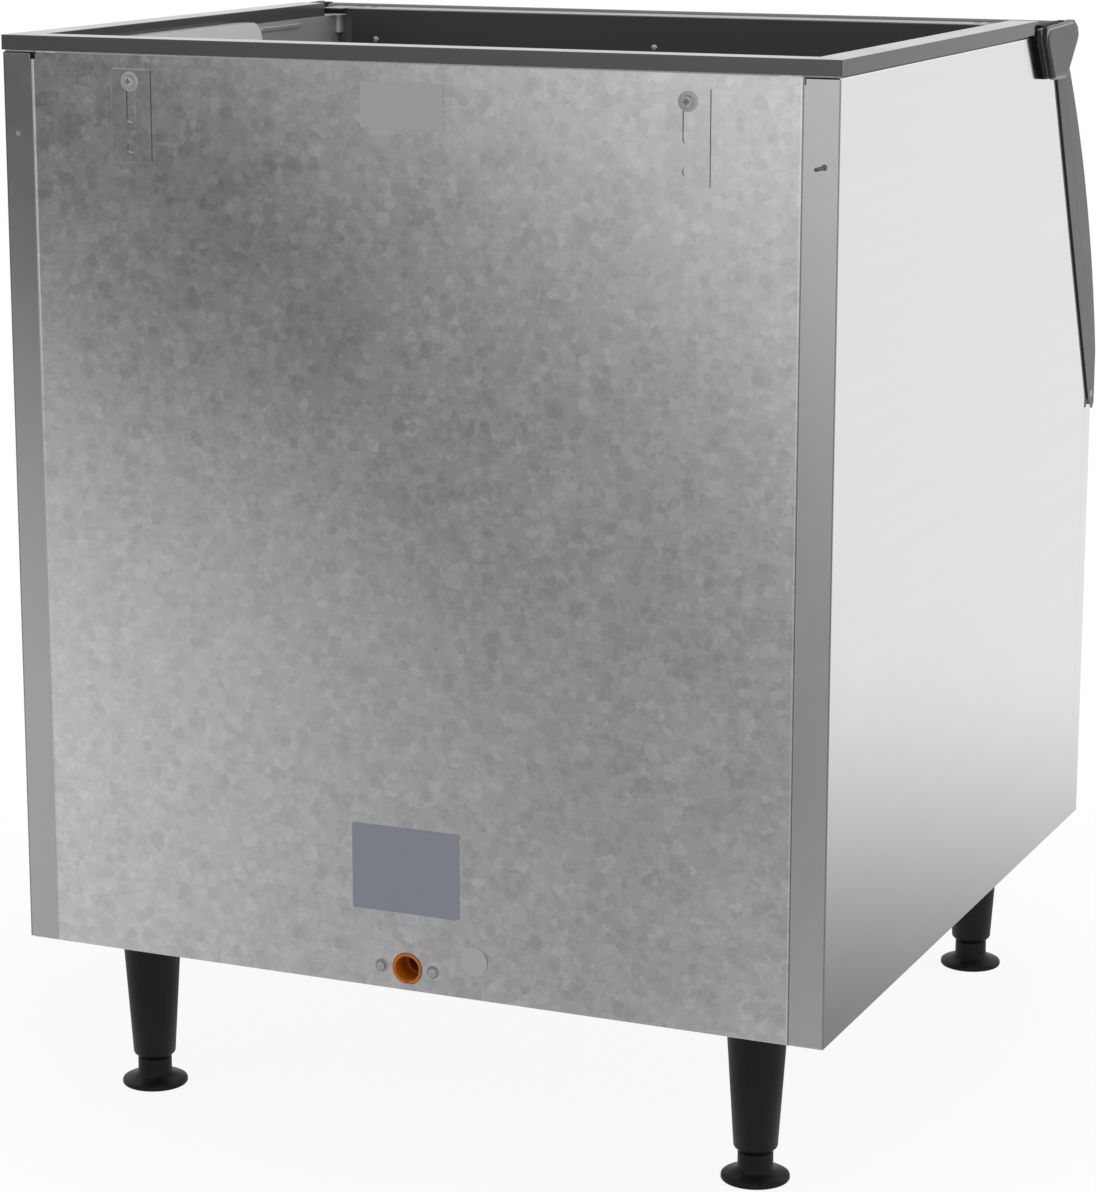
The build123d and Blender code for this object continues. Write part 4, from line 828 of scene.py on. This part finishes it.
class BIN_OT_plastics(Operator):
    """Charcoal rim, door and caps, pale liner, drain, plug and the blank plates"""

    bl_idname = "bin.plastics"
    bl_label = "Finish plastics and rubber"

    def execute(self, context):
        colours, surfaces = context.scene.bin_colours, context.scene.bin_surfaces
        skin = ("skin", {"Grain_Size": surfaces.skin})
        smooth = ("skin", {"Grain_Size": surfaces.skin * 2.5})
        low, high, middle = box_of("liner")
        cap_low, cap_high, middle = box_of("hinge_cap_right")
        rim_low, rim_high, middle = box_of("top_rim")
        cap_highlight_x = cap_low.x + CAP_HIGHLIGHT * MM
        # Painted highlight: a white line along the liner's rear top edge
        liner_bands = [
            (BACK, high.y - LIP_LINE, high.y + LEDGE, UP, high.z - LEDGE * 4, high.z + LEDGE, WHITE, 1.0)
        ]
        rim_bands, cap_bands = [], []
        for side in (-1, 1):
            outward = (side, 0, 0)
            # Painted shadow: a near-black line along the liner's side edges under the rim
            edge = (outward, high.x - LEDGE, high.x + LEDGE, BACK, low.y, high.y - LEDGE * 2)
            liner_bands.append((*edge, paint(12, 12, 12), 1.0))
            # Painted light on the side pad and rib, and painted shade on the wall beside them
            for start, end, tint, strength in LINER_SIDES:
                face = (outward, start * MM, end * MM, UP, LINER_SIDES_LOW * MM, high.z)
                liner_bands.append((*face, tint, strength))
            # Painted shade: the rim's outer side faces are darkened
            rim_x, rim_y = rim_high.x - RIM_LINE, rim_low.y - LEDGE
            edge = (outward, rim_x, rim_high.x + LEDGE, BACK, rim_y, rim_high.y + LEDGE)
            rim_bands.append((*edge, BLACK, 0.8))
            # Painted highlight: a light line along each cap beside its groove
            edge = (outward, cap_highlight_x, cap_highlight_x + HIGHLIGHT_LINE, BACK, cap_low.y - LEDGE, cap_high.y + LEDGE)
            cap_bands.append((*edge, paint(200, 200, 200), 0.8))
        rows = (
            ("charcoal rim", colours.rim, skin, 0.14, 0.00001, ("top_rim",)),
            ("dark inner plastic", colours.baffle, skin, 0.45, 0.00004, ("header_baffle", "door_frame")),
            ("door plastic", colours.door, skin, 0.42, 0.00004, ("door_tray", "door_skin")),
            ("cap plastic", colours.cap, skin, 0.42, 0.00004, ("hinge_cap_left", "hinge_cap_right")),
            # The hinge pads are near-black sheet where the gap behind each hinge cap lies in shade:
            # painted shadow; the gasket, bumpers and seals are black rubber
            (
                "black rubber and gap shadow", colours.rubber, skin, 0.62, 0.00005,
                ("door_gasket", "door_bumpers", "hinge_pads", "corner_seals"),
            ),
            ("liner plastic", colours.liner, smooth, 0.34, 0.00002, ("liner",)),
            ("nylon bush", colours.bush, smooth, 0.40, 0.00002, ("hinge_bushes",)),
            ("drain plastic", colours.drain, smooth, 0.32, 0.00002, ("drain_fitting",)),
            ("strainer plastic", colours.bush, smooth, 0.35, 0.00002, ("drain_strainer",)),
            ("plug plastic", colours.plug, smooth, 0.42, 0.00002, ("hole_plug",)),
            ("light plate", colours.plate_light, smooth, 0.40, 0.00001, ("blank_plate_upper",)),
            ("grey plate", colours.plate_grey, smooth, 0.45, 0.00001, ("blank_plate_lower",)),
        )
        shy = ("door plastic", "cap plastic")
        # Painted light and shade on the caps: rear-lower faces darker, top faces lighter, and faces
        # turned down lighter as if lit from below
        cap_shades = (
            ((0, 0.81, -0.59), BLACK, 0.5),
            (UP, paint(150, 150, 150), 0.5),
            ((0, -0.4, -0.92), paint(210, 210, 210), 0.7),
        )
        extras = {
            "charcoal rim": {"bands": rim_bands, "specular": 0.4},
            "cap plastic": {"bands": cap_bands, "shades": cap_shades, "wear": 0.03},
            "liner plastic": {"bands": liner_bands},
            # painted shade: the plug's sides facing -X and down are darkened
            "plug plastic": {"shades": (((-1, 0, 0), BLACK, 0.6), ((0, 0, -1), BLACK, 0.5))},
            "black rubber and gap shadow": {"specular": 0.1},
        }
        for name, base, pattern, roughness, relief, names in rows:
            material = finish(
                name, base, pattern, roughness, relief=relief, contrast=0.07,
                mirrored=name not in shy, **extras.get(name, {}),
            )
            dress(material, *names)
        # Painted shadow: the foam round the locating pin is painted near black, as the shade in its hole
        low, high, middle = box_of("locating_pin")
        across = (ACROSS, -high.x - HOLE_SHADE, -low.x + HOLE_SHADE)
        pin_hole_shadow = (*across, UP, low.z - HOLE_SHADE, high.z + HOLE_SHADE, BLACK, 0.97)
        foam = finish(
            "insulation foam",
            colours.foam,
            ("skin", {"Grain_Size": 0.0022}),
            0.85,
            contrast=0.16,
            relief=0.0004,
            wear=0.1,
            bands=(pin_hole_shadow,),
        )
        dress(foam, "insulation", "door_insulation", "header_insulation")
        return {"FINISHED"}


class BIN_OT_fasteners(Operator):
    """Screws, washers, pins, hinge brackets and studs"""

    bl_idname = "bin.fasteners"
    bl_label = "Finish fasteners and small steel"

    def execute(self, context):
        colours, surfaces = context.scene.bin_colours, context.scene.bin_surfaces
        fine = ("lines", {"Line_Spacing": surfaces.grain * 0.6, "Stretch": (1.0, 0.3, 1.0)})
        feet = tuple(f"foot_stud_{name}" for name in LEG_NAMES)
        rows = (
            ("washer steel", colours.washer, 0.34, ()),
            (
                "bright steel", colours.bright_steel, 0.30,
                (
                    "baffle_screws", "header_screws", "bracket_screws", "bracket_washers",
                    "drain_bolts", "drain_washers", "door_side_screws", "hinge_bolts", "hinge_pins",
                ),
            ),
            (
                "hinge bracket steel", colours.ear_steel, 0.42,
                ("hinge_bracket_left", "hinge_bracket_right", "locating_pin"),
            ),
            ("dull steel", colours.dull_steel, 0.40, ("hinge_nut_plates", "leg_studs", *feet)),
        )
        for name, base, roughness, names in rows:
            material = finish(
                name, base, fine, roughness, metallic=1.0, contrast=0.08, relief=0.000004, wear=0.4,
                mirrored=False,
            )
            dress(material, *names)
        return {"FINISHED"}


def screw_seats(node, head, count, facing):
    """Where equal screws along X are seated, a head's radius inside the box, and their reach."""
    low, high, seat = box_of(node)
    axis = facing.index(1)
    seat[axis] = high[axis] - head[1] * MM
    first, last = low.x + head[0] * MM, high.x - head[0] * MM
    seats = []
    for step in range(count):
        seat.x = first + (last - first) * step / (count - 1)
        seats.append(seat.copy())
    return seats, seat[axis] - low[axis]


class BIN_OT_screw_heads(Operator):
    """Turned screw heads with cross recesses, washers and hexagon bolts"""

    bl_idname = "bin.screw_heads"
    bl_label = "Model screw heads"

    def execute(self, context):
        for name, node, count, head, facing, material, ring in SCREWS:
            seats, reach = screw_seats(node, head, count, facing)
            heads = [screw(seat, facing, head, reach, "hex" in name) for seat in seats]
            set_piece(name, joined(sum(heads, [])), material, "cabinet", "bright_steel", node)
            if ring:
                name, node, radius, material = ring
                low, high, middle = box_of(node)
                rings = [washer(head[2] + HOLE_GAP, radius, (high.y - low.y) / MM) for seat in seats]
                rings = [stood(made, (seat.x, low.y, seat.z), BACK) for made, seat in zip(rings, seats)]
                set_piece(name, joined(rings), material, "cabinet", "bright_steel", node)

        node = "door_side_screws"
        low, high, middle = box_of(node)
        heads = []
        for side, face_x in ((-1, low.x), (1, high.x)):
            seat = (face_x - side * DOOR_HEAD[1] * MM, middle.y, middle.z)
            heads.append(stood(crossed_head(*DOOR_HEAD[:2]), seat, (side, 0, 0)))
            peg = [(0.0, 0.0), (DOOR_HEAD[2], 0.0), (DOOR_HEAD[2], -DOOR_PEG), (0.0, -DOOR_PEG)]
            heads.append(stood(lathe(peg, turns=24), seat, (side, 0, 0)))
        set_piece("door_end_screws", joined(heads), "bright steel", "door", "bright_steel", node)
        return {"FINISHED"}


def shank(radius, metres):
    """A screw's shank down from its seat, with thread rings and a lead-in at its end."""
    reach = metres / MM
    root = radius * THREAD_ROOT
    rows = [(radius, 0.0)]
    turns = max(2, int((reach - radius) / THREAD_PITCH))
    for turn in range(turns):
        top = -turn * THREAD_PITCH
        rows += [(radius, top - THREAD_PITCH * 0.25), (root, top - THREAD_PITCH * 0.75)]
    rows += [(root, -reach + radius * THREAD_LEAD), (radius * THREAD_TIP, -reach), (0.0, -reach)]
    return lathe([(0.0, 0.0)] + rows, turns=24)


# Sizes of the small turned pieces, in millimetres; a head is its radius, height and shank radius
HOLE_GAP = 0.1
THREAD_PITCH = 1.5
BRACKET_HEAD = (4.8, 2.9, 3.0)
SMALL_HEAD = (3.5, 1.8, 1.9)
DOOR_HEAD = (3.5, 0.9, 1.9)
DOOR_PEG = 1.9
FOOT_STUD_RADIUS = 5.0
DRAIN_HEAD = (4.0, 2.6, 2.5)

# Rows of screws: piece, node, count, head, facing, material, and the washers under them as
# piece, node, radius and material
SCREWS = (
    ("bracket_pan_screws", "bracket_screws", 2, BRACKET_HEAD, BACK, "washer steel",
     ("bracket_flat_washers", "bracket_washers", 8.4, "washer steel")),
    ("drain_hex_bolts", "drain_bolts", 2, DRAIN_HEAD, BACK, "washer steel",
     ("drain_flat_washers", "drain_washers", 5.8, "dull steel")),
    ("baffle_pan_screws", "baffle_screws", 3, SMALL_HEAD, BACK, "bright steel", None),
    ("header_pan_screws", "header_screws", 2, SMALL_HEAD, UP, "bright steel", None),
)

# Hinge cap: its corners as (distance in front of its rear end, height above its lowest point),
# the radius of each, its lip as (reach from the inner face, inset), and its edge and slot
CAP_CORNERS = ((5.2, 36.4), (0.0, 50.8), (94.4, 52.9), (117.8, 41.0), (75.0, 0.0), (31.0, 1.1))
CAP_RADII = (12.0, 7.5, 7.5, 9.0, 7.5, 7.5)
CAP_LIP = ((0.0, 0.6), (0.6, 0.0), (3.9, 0.0), (4.3, 0.8), (4.8, 0.8), (5.2, 0.0))
# Where the cap's painted highlight line starts, measured from its inner face
CAP_HIGHLIGHT = 4.9
CAP_EDGE = 7.0
CAP_FLAT = 0.03
CAP_STEPS = 6
CAP_SLOT_MARGIN = 0.7
CAP_SLOT_ROUND = 1.9
CAP_SLOT_DEPTH = 2.5

# Liner sides: distances from the middle of the pad, the rib and the wall, with their tints:
# painted light on the pad and rib, painted shade on the wall
LINER_SIDES = (
    (330.0, 340.0, WHITE, 0.75),
    (340.5, 348.5, WHITE, 0.45),
    (349.0, 352.0, BLACK, 0.36),
)
LINER_SIDES_LOW = 700.0

# Side outlines of a leg and a foot as (radius, height above its lowest point)
LEG_ROWS = (
    (0.0, 0.0), (14.8, 0.0), (16.0, 0.9), (16.4, 1.6), (18.6, 3.6), (19.3, 5.0), (23.3, 65.8),
    (27.0, 122.0), (27.3, 124.0), (27.3, 125.6), (26.6, 126.5), (0.0, 126.5),
)
FOOT_ROWS = (
    (0.0, 0.0), (28.4, 0.0), (29.4, 0.35), (30.05, 1.2), (30.05, 3.3), (29.6, 4.4), (28.2, 5.2),
    (23.6, 6.8), (19.2, 8.4), (16.9, 10.0), (15.8, 12.0), (15.5, 14.5), (15.5, 24.9),
    (15.0, 25.6), (0.0, 25.6),
)


class BIN_OT_hinge_caps(Operator):
    """Moulded hinge caps with a lip, rounded edges and an end slot"""

    bl_idname = "bin.hinge_caps"
    bl_label = "Model hinge caps"

    def execute(self, context):
        for name, side in (("left", -1), ("right", 1)):
            low, high, middle = box_of(f"hinge_cap_{name}")
            corners = [(high.y / MM - ahead, low.z / MM + rise) for ahead, rise in CAP_CORNERS]
            inner_x = high.x if side < 0 else low.x
            cap = stood(moulded_cap(corners, (high.x - low.x) / MM, side), (inner_x, 0, 0))
            set_piece(
                f"moulded_hinge_cap_{name}", cap, "cap plastic", "cabinet", "cap_plastic",
                f"hinge_cap_{name}",
            )
        return {"FINISHED"}


class BIN_OT_turned_legs(Operator):
    """Turned legs with rounded shoulders, flared levelling feet and threaded studs"""

    bl_idname = "bin.turned_legs"
    bl_label = "Model legs and feet"

    def execute(self, context):
        for name in LEG_NAMES:
            foot_body = f"levelling_foot_{name}"
            for node, rows, body, slot in (
                ("leg", LEG_ROWS, "cabinet", "leg_metal"),
                ("foot", FOOT_ROWS, foot_body, "foot_metal"),
            ):
                low, high, middle = box_of(f"{node}_{name}")
                made = stood(lathe(rows, turns=96), (middle.x, middle.y, low.z))
                piece = f"turned_{node}_{name}"
                set_piece(piece, made, "black powder coat", body, slot, f"{node}_{name}")
            node = f"foot_stud_{name}"
            low, high, middle = box_of(node)
            thread = shank(FOOT_STUD_RADIUS, high.z - low.z)
            stud = stood(thread, (middle.x, middle.y, low.z), (0, 0, -1))
            set_piece(f"threaded_{node}", stud, "dull steel", foot_body, "stud_steel", node)
        return {"FINISHED"}


class BIN_OT_legs(Operator):
    """Black legs and levelling feet"""

    bl_idname = "bin.legs"
    bl_label = "Finish legs and feet"

    def execute(self, context):
        colours, surfaces = context.scene.bin_colours, context.scene.bin_surfaces
        material = finish(
            "black powder coat",
            colours.leg,
            ("skin", {"Grain_Size": surfaces.skin}),
            0.46,
            relief=0.00003,
            contrast=0.12,
            wear=0.1,
            specular=0.17,
        )
        dress(material, *(f"leg_{name}" for name in LEG_NAMES), *(f"foot_{name}" for name in LEG_NAMES))
        return {"FINISHED"}


# Lamps: place, width and height; both aim at the middle of the bin
KEY_LAMP = ((-2.2, 2.4, 3.0), 2.4, 1.8)
SIDE_LAMP = ((-3.2, -0.4, 1.4), 1.8, 2.2)
LAMP_AIM = (0.0, 0.0, 0.5)


def soft_lamp(name, place, width, height, power):
    """A large soft rectangular lamp."""
    lamp = bpy.data.lights.new(name, "AREA")
    lamp.shape = "RECTANGLE"
    lamp.size, lamp.size_y = width, height
    lamp.energy = power
    made = in_scene(name, lamp)
    made.location = place
    made.rotation_euler = (Vector(LAMP_AIM) - Vector(place)).to_track_quat("-Z", "Y").to_euler()
    made.visible_glossy = False
    return made


# Dark studio flags that polished sheet reflects: azimuth from +Y towards +X, elevation,
# half-width, half-height, tilt (all in degrees) and how dark each one is
FLAGS = (
    (31.8, -4.4, 22.0, 4.9, 37.0, 0.97),
    (24.0, -19.0, 7.5, 6.2, -4.0, 0.58),
    (-161.5, -20.3, 60.0, 5.0, 0.0, 0.8),
    (90.0, -21.0, 45.0, 5.0, 0.0, 0.6),
    (-161.5, -8.0, 40.0, 12.0, 0.0, -0.24),
)
HALF_TURN = 180.0


def flag_shade(tree, azimuth, elevation, flag):
    """How much one flag darkens the direction that has this azimuth and elevation."""
    turn, rise, half_width, half_height, tilt, darkness = flag
    across = maths(tree, "WRAP", maths(tree, "SUBTRACT", azimuth, turn), HALF_TURN)
    across.node.inputs[2].default_value = -HALF_TURN
    up = maths(tree, "SUBTRACT", elevation, rise)
    cosine, sine = math.cos(math.radians(tilt)), math.sin(math.radians(tilt))
    squares = []
    for operation, main, other, half in (
        ("ADD", across, up, half_width),
        ("SUBTRACT", up, across, half_height),
    ):
        main = product(tree, main, cosine)
        away = maths(tree, operation, main, product(tree, other, sine))
        ratio = maths(tree, "ABSOLUTE", maths(tree, "DIVIDE", away, half))
        squares.append(maths(tree, "POWER", ratio, 2.0))
    reach = product(tree, maths(tree, "ADD", *squares), -1.0)
    return product(tree, maths(tree, "EXPONENT", reach), darkness)


def studio_world(settings):
    """White backdrop for camera and reflections, dark flags in reflections, even fill light."""
    world = bpy.data.worlds.new("studio")
    tree = empty_tree(world)
    direction = tree.nodes.new("ShaderNodeTexCoord").outputs["Generated"]
    split = add(tree, "ShaderNodeSeparateXYZ", {0: direction}).outputs
    turned = maths(tree, "ARCTAN2", split["X"], split["Y"])
    azimuth = product(tree, turned, math.degrees(1))
    elevation = product(tree, maths(tree, "ARCSINE", split["Z"]), math.degrees(1))
    level = 1.0
    for flag in FLAGS:
        dark = flag_shade(tree, azimuth, elevation, flag)
        level = product(tree, level, maths(tree, "SUBTRACT", 1.0, dark))
    path = tree.nodes.new("ShaderNodeLightPath").outputs
    glossy = mixed(tree, level, BLACK, WHITE)
    plain = (settings.backdrop,) * 3
    fill = (settings.fill,) * 3
    seen = maths(tree, "MAXIMUM", path["Is Camera Ray"], path["Is Transmission Ray"])
    shown = mixed(tree, path["Is Glossy Ray"], fill, glossy)
    shown = mixed(tree, seen, shown, plain)
    background = add(tree, "ShaderNodeBackground", {"Color": shown, "Strength": 1.0})
    output = tree.nodes.new("ShaderNodeOutputWorld")
    tree.links.new(background.outputs[0], output.inputs["Surface"])
    world.cycles.sampling_method = "NONE"
    bpy.context.scene.world = world


# Floor: its two tones, how far from the middle its shadow fades out, and how faint it is
FLOOR_DARK = (0.83, 0.83, 0.83)
FLOOR_LIGHT = (0.86, 0.86, 0.86)
SHADOW_FADE = (0.40, 1.0)
SHADOW_PLAIN = 0.90


def floor_material(settings):
    """Pale floor that keeps the bin's soft shadow near it and is plain backdrop farther out."""
    material = bpy.data.materials.new("studio floor")
    tree = empty_tree(material)
    place = object_place(tree)
    away = vector_maths(tree, "LENGTH", place)
    drift = noise(tree, place, 40.0, 3.0)["Fac"]
    matt = add(tree, "ShaderNodeBsdfDiffuse", {"Color": mixed(tree, drift, FLOOR_DARK, FLOOR_LIGHT)})
    feeds = {"Color": (settings.backdrop,) * 3 + (1.0,), "Strength": 1.0}
    plain = add(tree, "ShaderNodeEmission", feeds)
    path = tree.nodes.new("ShaderNodeLightPath").outputs
    mirrored = maths(tree, "MAXIMUM", path["Is Glossy Ray"], path["Is Transmission Ray"])
    seen = maths(tree, "MAXIMUM", path["Is Camera Ray"], mirrored)
    amount = product(tree, spread(tree, away, *SHADOW_FADE, SHADOW_PLAIN, 1.0), seen)
    feeds = {0: amount, 1: matt.outputs[0], 2: plain.outputs[0]}
    joined = add(tree, "ShaderNodeMixShader", feeds)
    output = tree.nodes.new("ShaderNodeOutputMaterial")
    tree.links.new(joined.outputs[0], output.inputs["Surface"])
    return material


class BIN_OT_stage(Operator):
    """Floor, soft lamps, white backdrop and the camera"""

    bl_idname = "bin.stage"
    bl_label = "Build the studio"

    def execute(self, context):
        settings = context.scene.bin_studio
        shape = bmesh.new()
        bmesh.ops.create_circle(shape, cap_ends=True, segments=96, radius=settings.floor_radius)
        mesh = mesh_of("studio_floor", shape)
        floor = in_scene("studio_floor", mesh)
        mesh.materials.append(floor_material(settings))
        floor.visible_glossy = False
        studio_world(settings)
        soft_lamp("key lamp", *KEY_LAMP, settings.key_power)
        soft_lamp("side lamp", *SIDE_LAMP, settings.side_power)
        lens = bpy.data.cameras.new("photo camera")
        lens.lens = settings.focal_length
        lens.sensor_width = 36.0
        lens.sensor_fit = "AUTO"
        lens.clip_start, lens.clip_end = 0.05, 100.0
        camera = in_scene("photo camera", lens)
        camera.location = settings.camera_place
        camera.rotation_euler = settings.camera_turn
        context.scene.camera = camera
        context.scene.view_settings.view_transform = "Standard"
        return {"FINISHED"}


class BIN_PT_sidebar(Panel):
    """The bin's settings and steps"""

    bl_idname = "BIN_PT_sidebar"
    bl_label = "Ice Storage Bin"
    bl_space_type = "VIEW_3D"
    bl_region_type = "UI"
    bl_category = "Ice Bin"

    def draw(self, context):
        for step in STEPS:
            self.layout.operator(step.bl_idname)
        for group in (context.scene.bin_colours, context.scene.bin_surfaces, context.scene.bin_studio):
            box = self.layout.box()
            for name in group.__annotations__:
                box.prop(group, name)


SETTINGS = {"bin_colours": BinColours, "bin_surfaces": BinSurfaces, "bin_studio": StudioSettings}
STEPS = (
    BIN_OT_sheet_metal, BIN_OT_plastics, BIN_OT_fasteners, BIN_OT_legs,
    BIN_OT_screw_heads, BIN_OT_hinge_caps, BIN_OT_turned_legs, BIN_OT_stage,
)


def register():
    for kind in (*SETTINGS.values(), *STEPS, BIN_PT_sidebar):
        bpy.utils.register_class(kind)
    for name, kind in SETTINGS.items():
        setattr(bpy.types.Scene, name, PointerProperty(type=kind))


def unregister():
    for name in SETTINGS:
        delattr(bpy.types.Scene, name)
    for kind in reversed((*SETTINGS.values(), *STEPS, BIN_PT_sidebar)):
        bpy.utils.unregister_class(kind)


def main():
    """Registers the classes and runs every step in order."""
    register()
    for step in STEPS:
        family, name = step.bl_idname.split(".")
        getattr(getattr(bpy.ops, family), name)()
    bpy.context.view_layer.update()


if __name__ == "__main__":
    main()
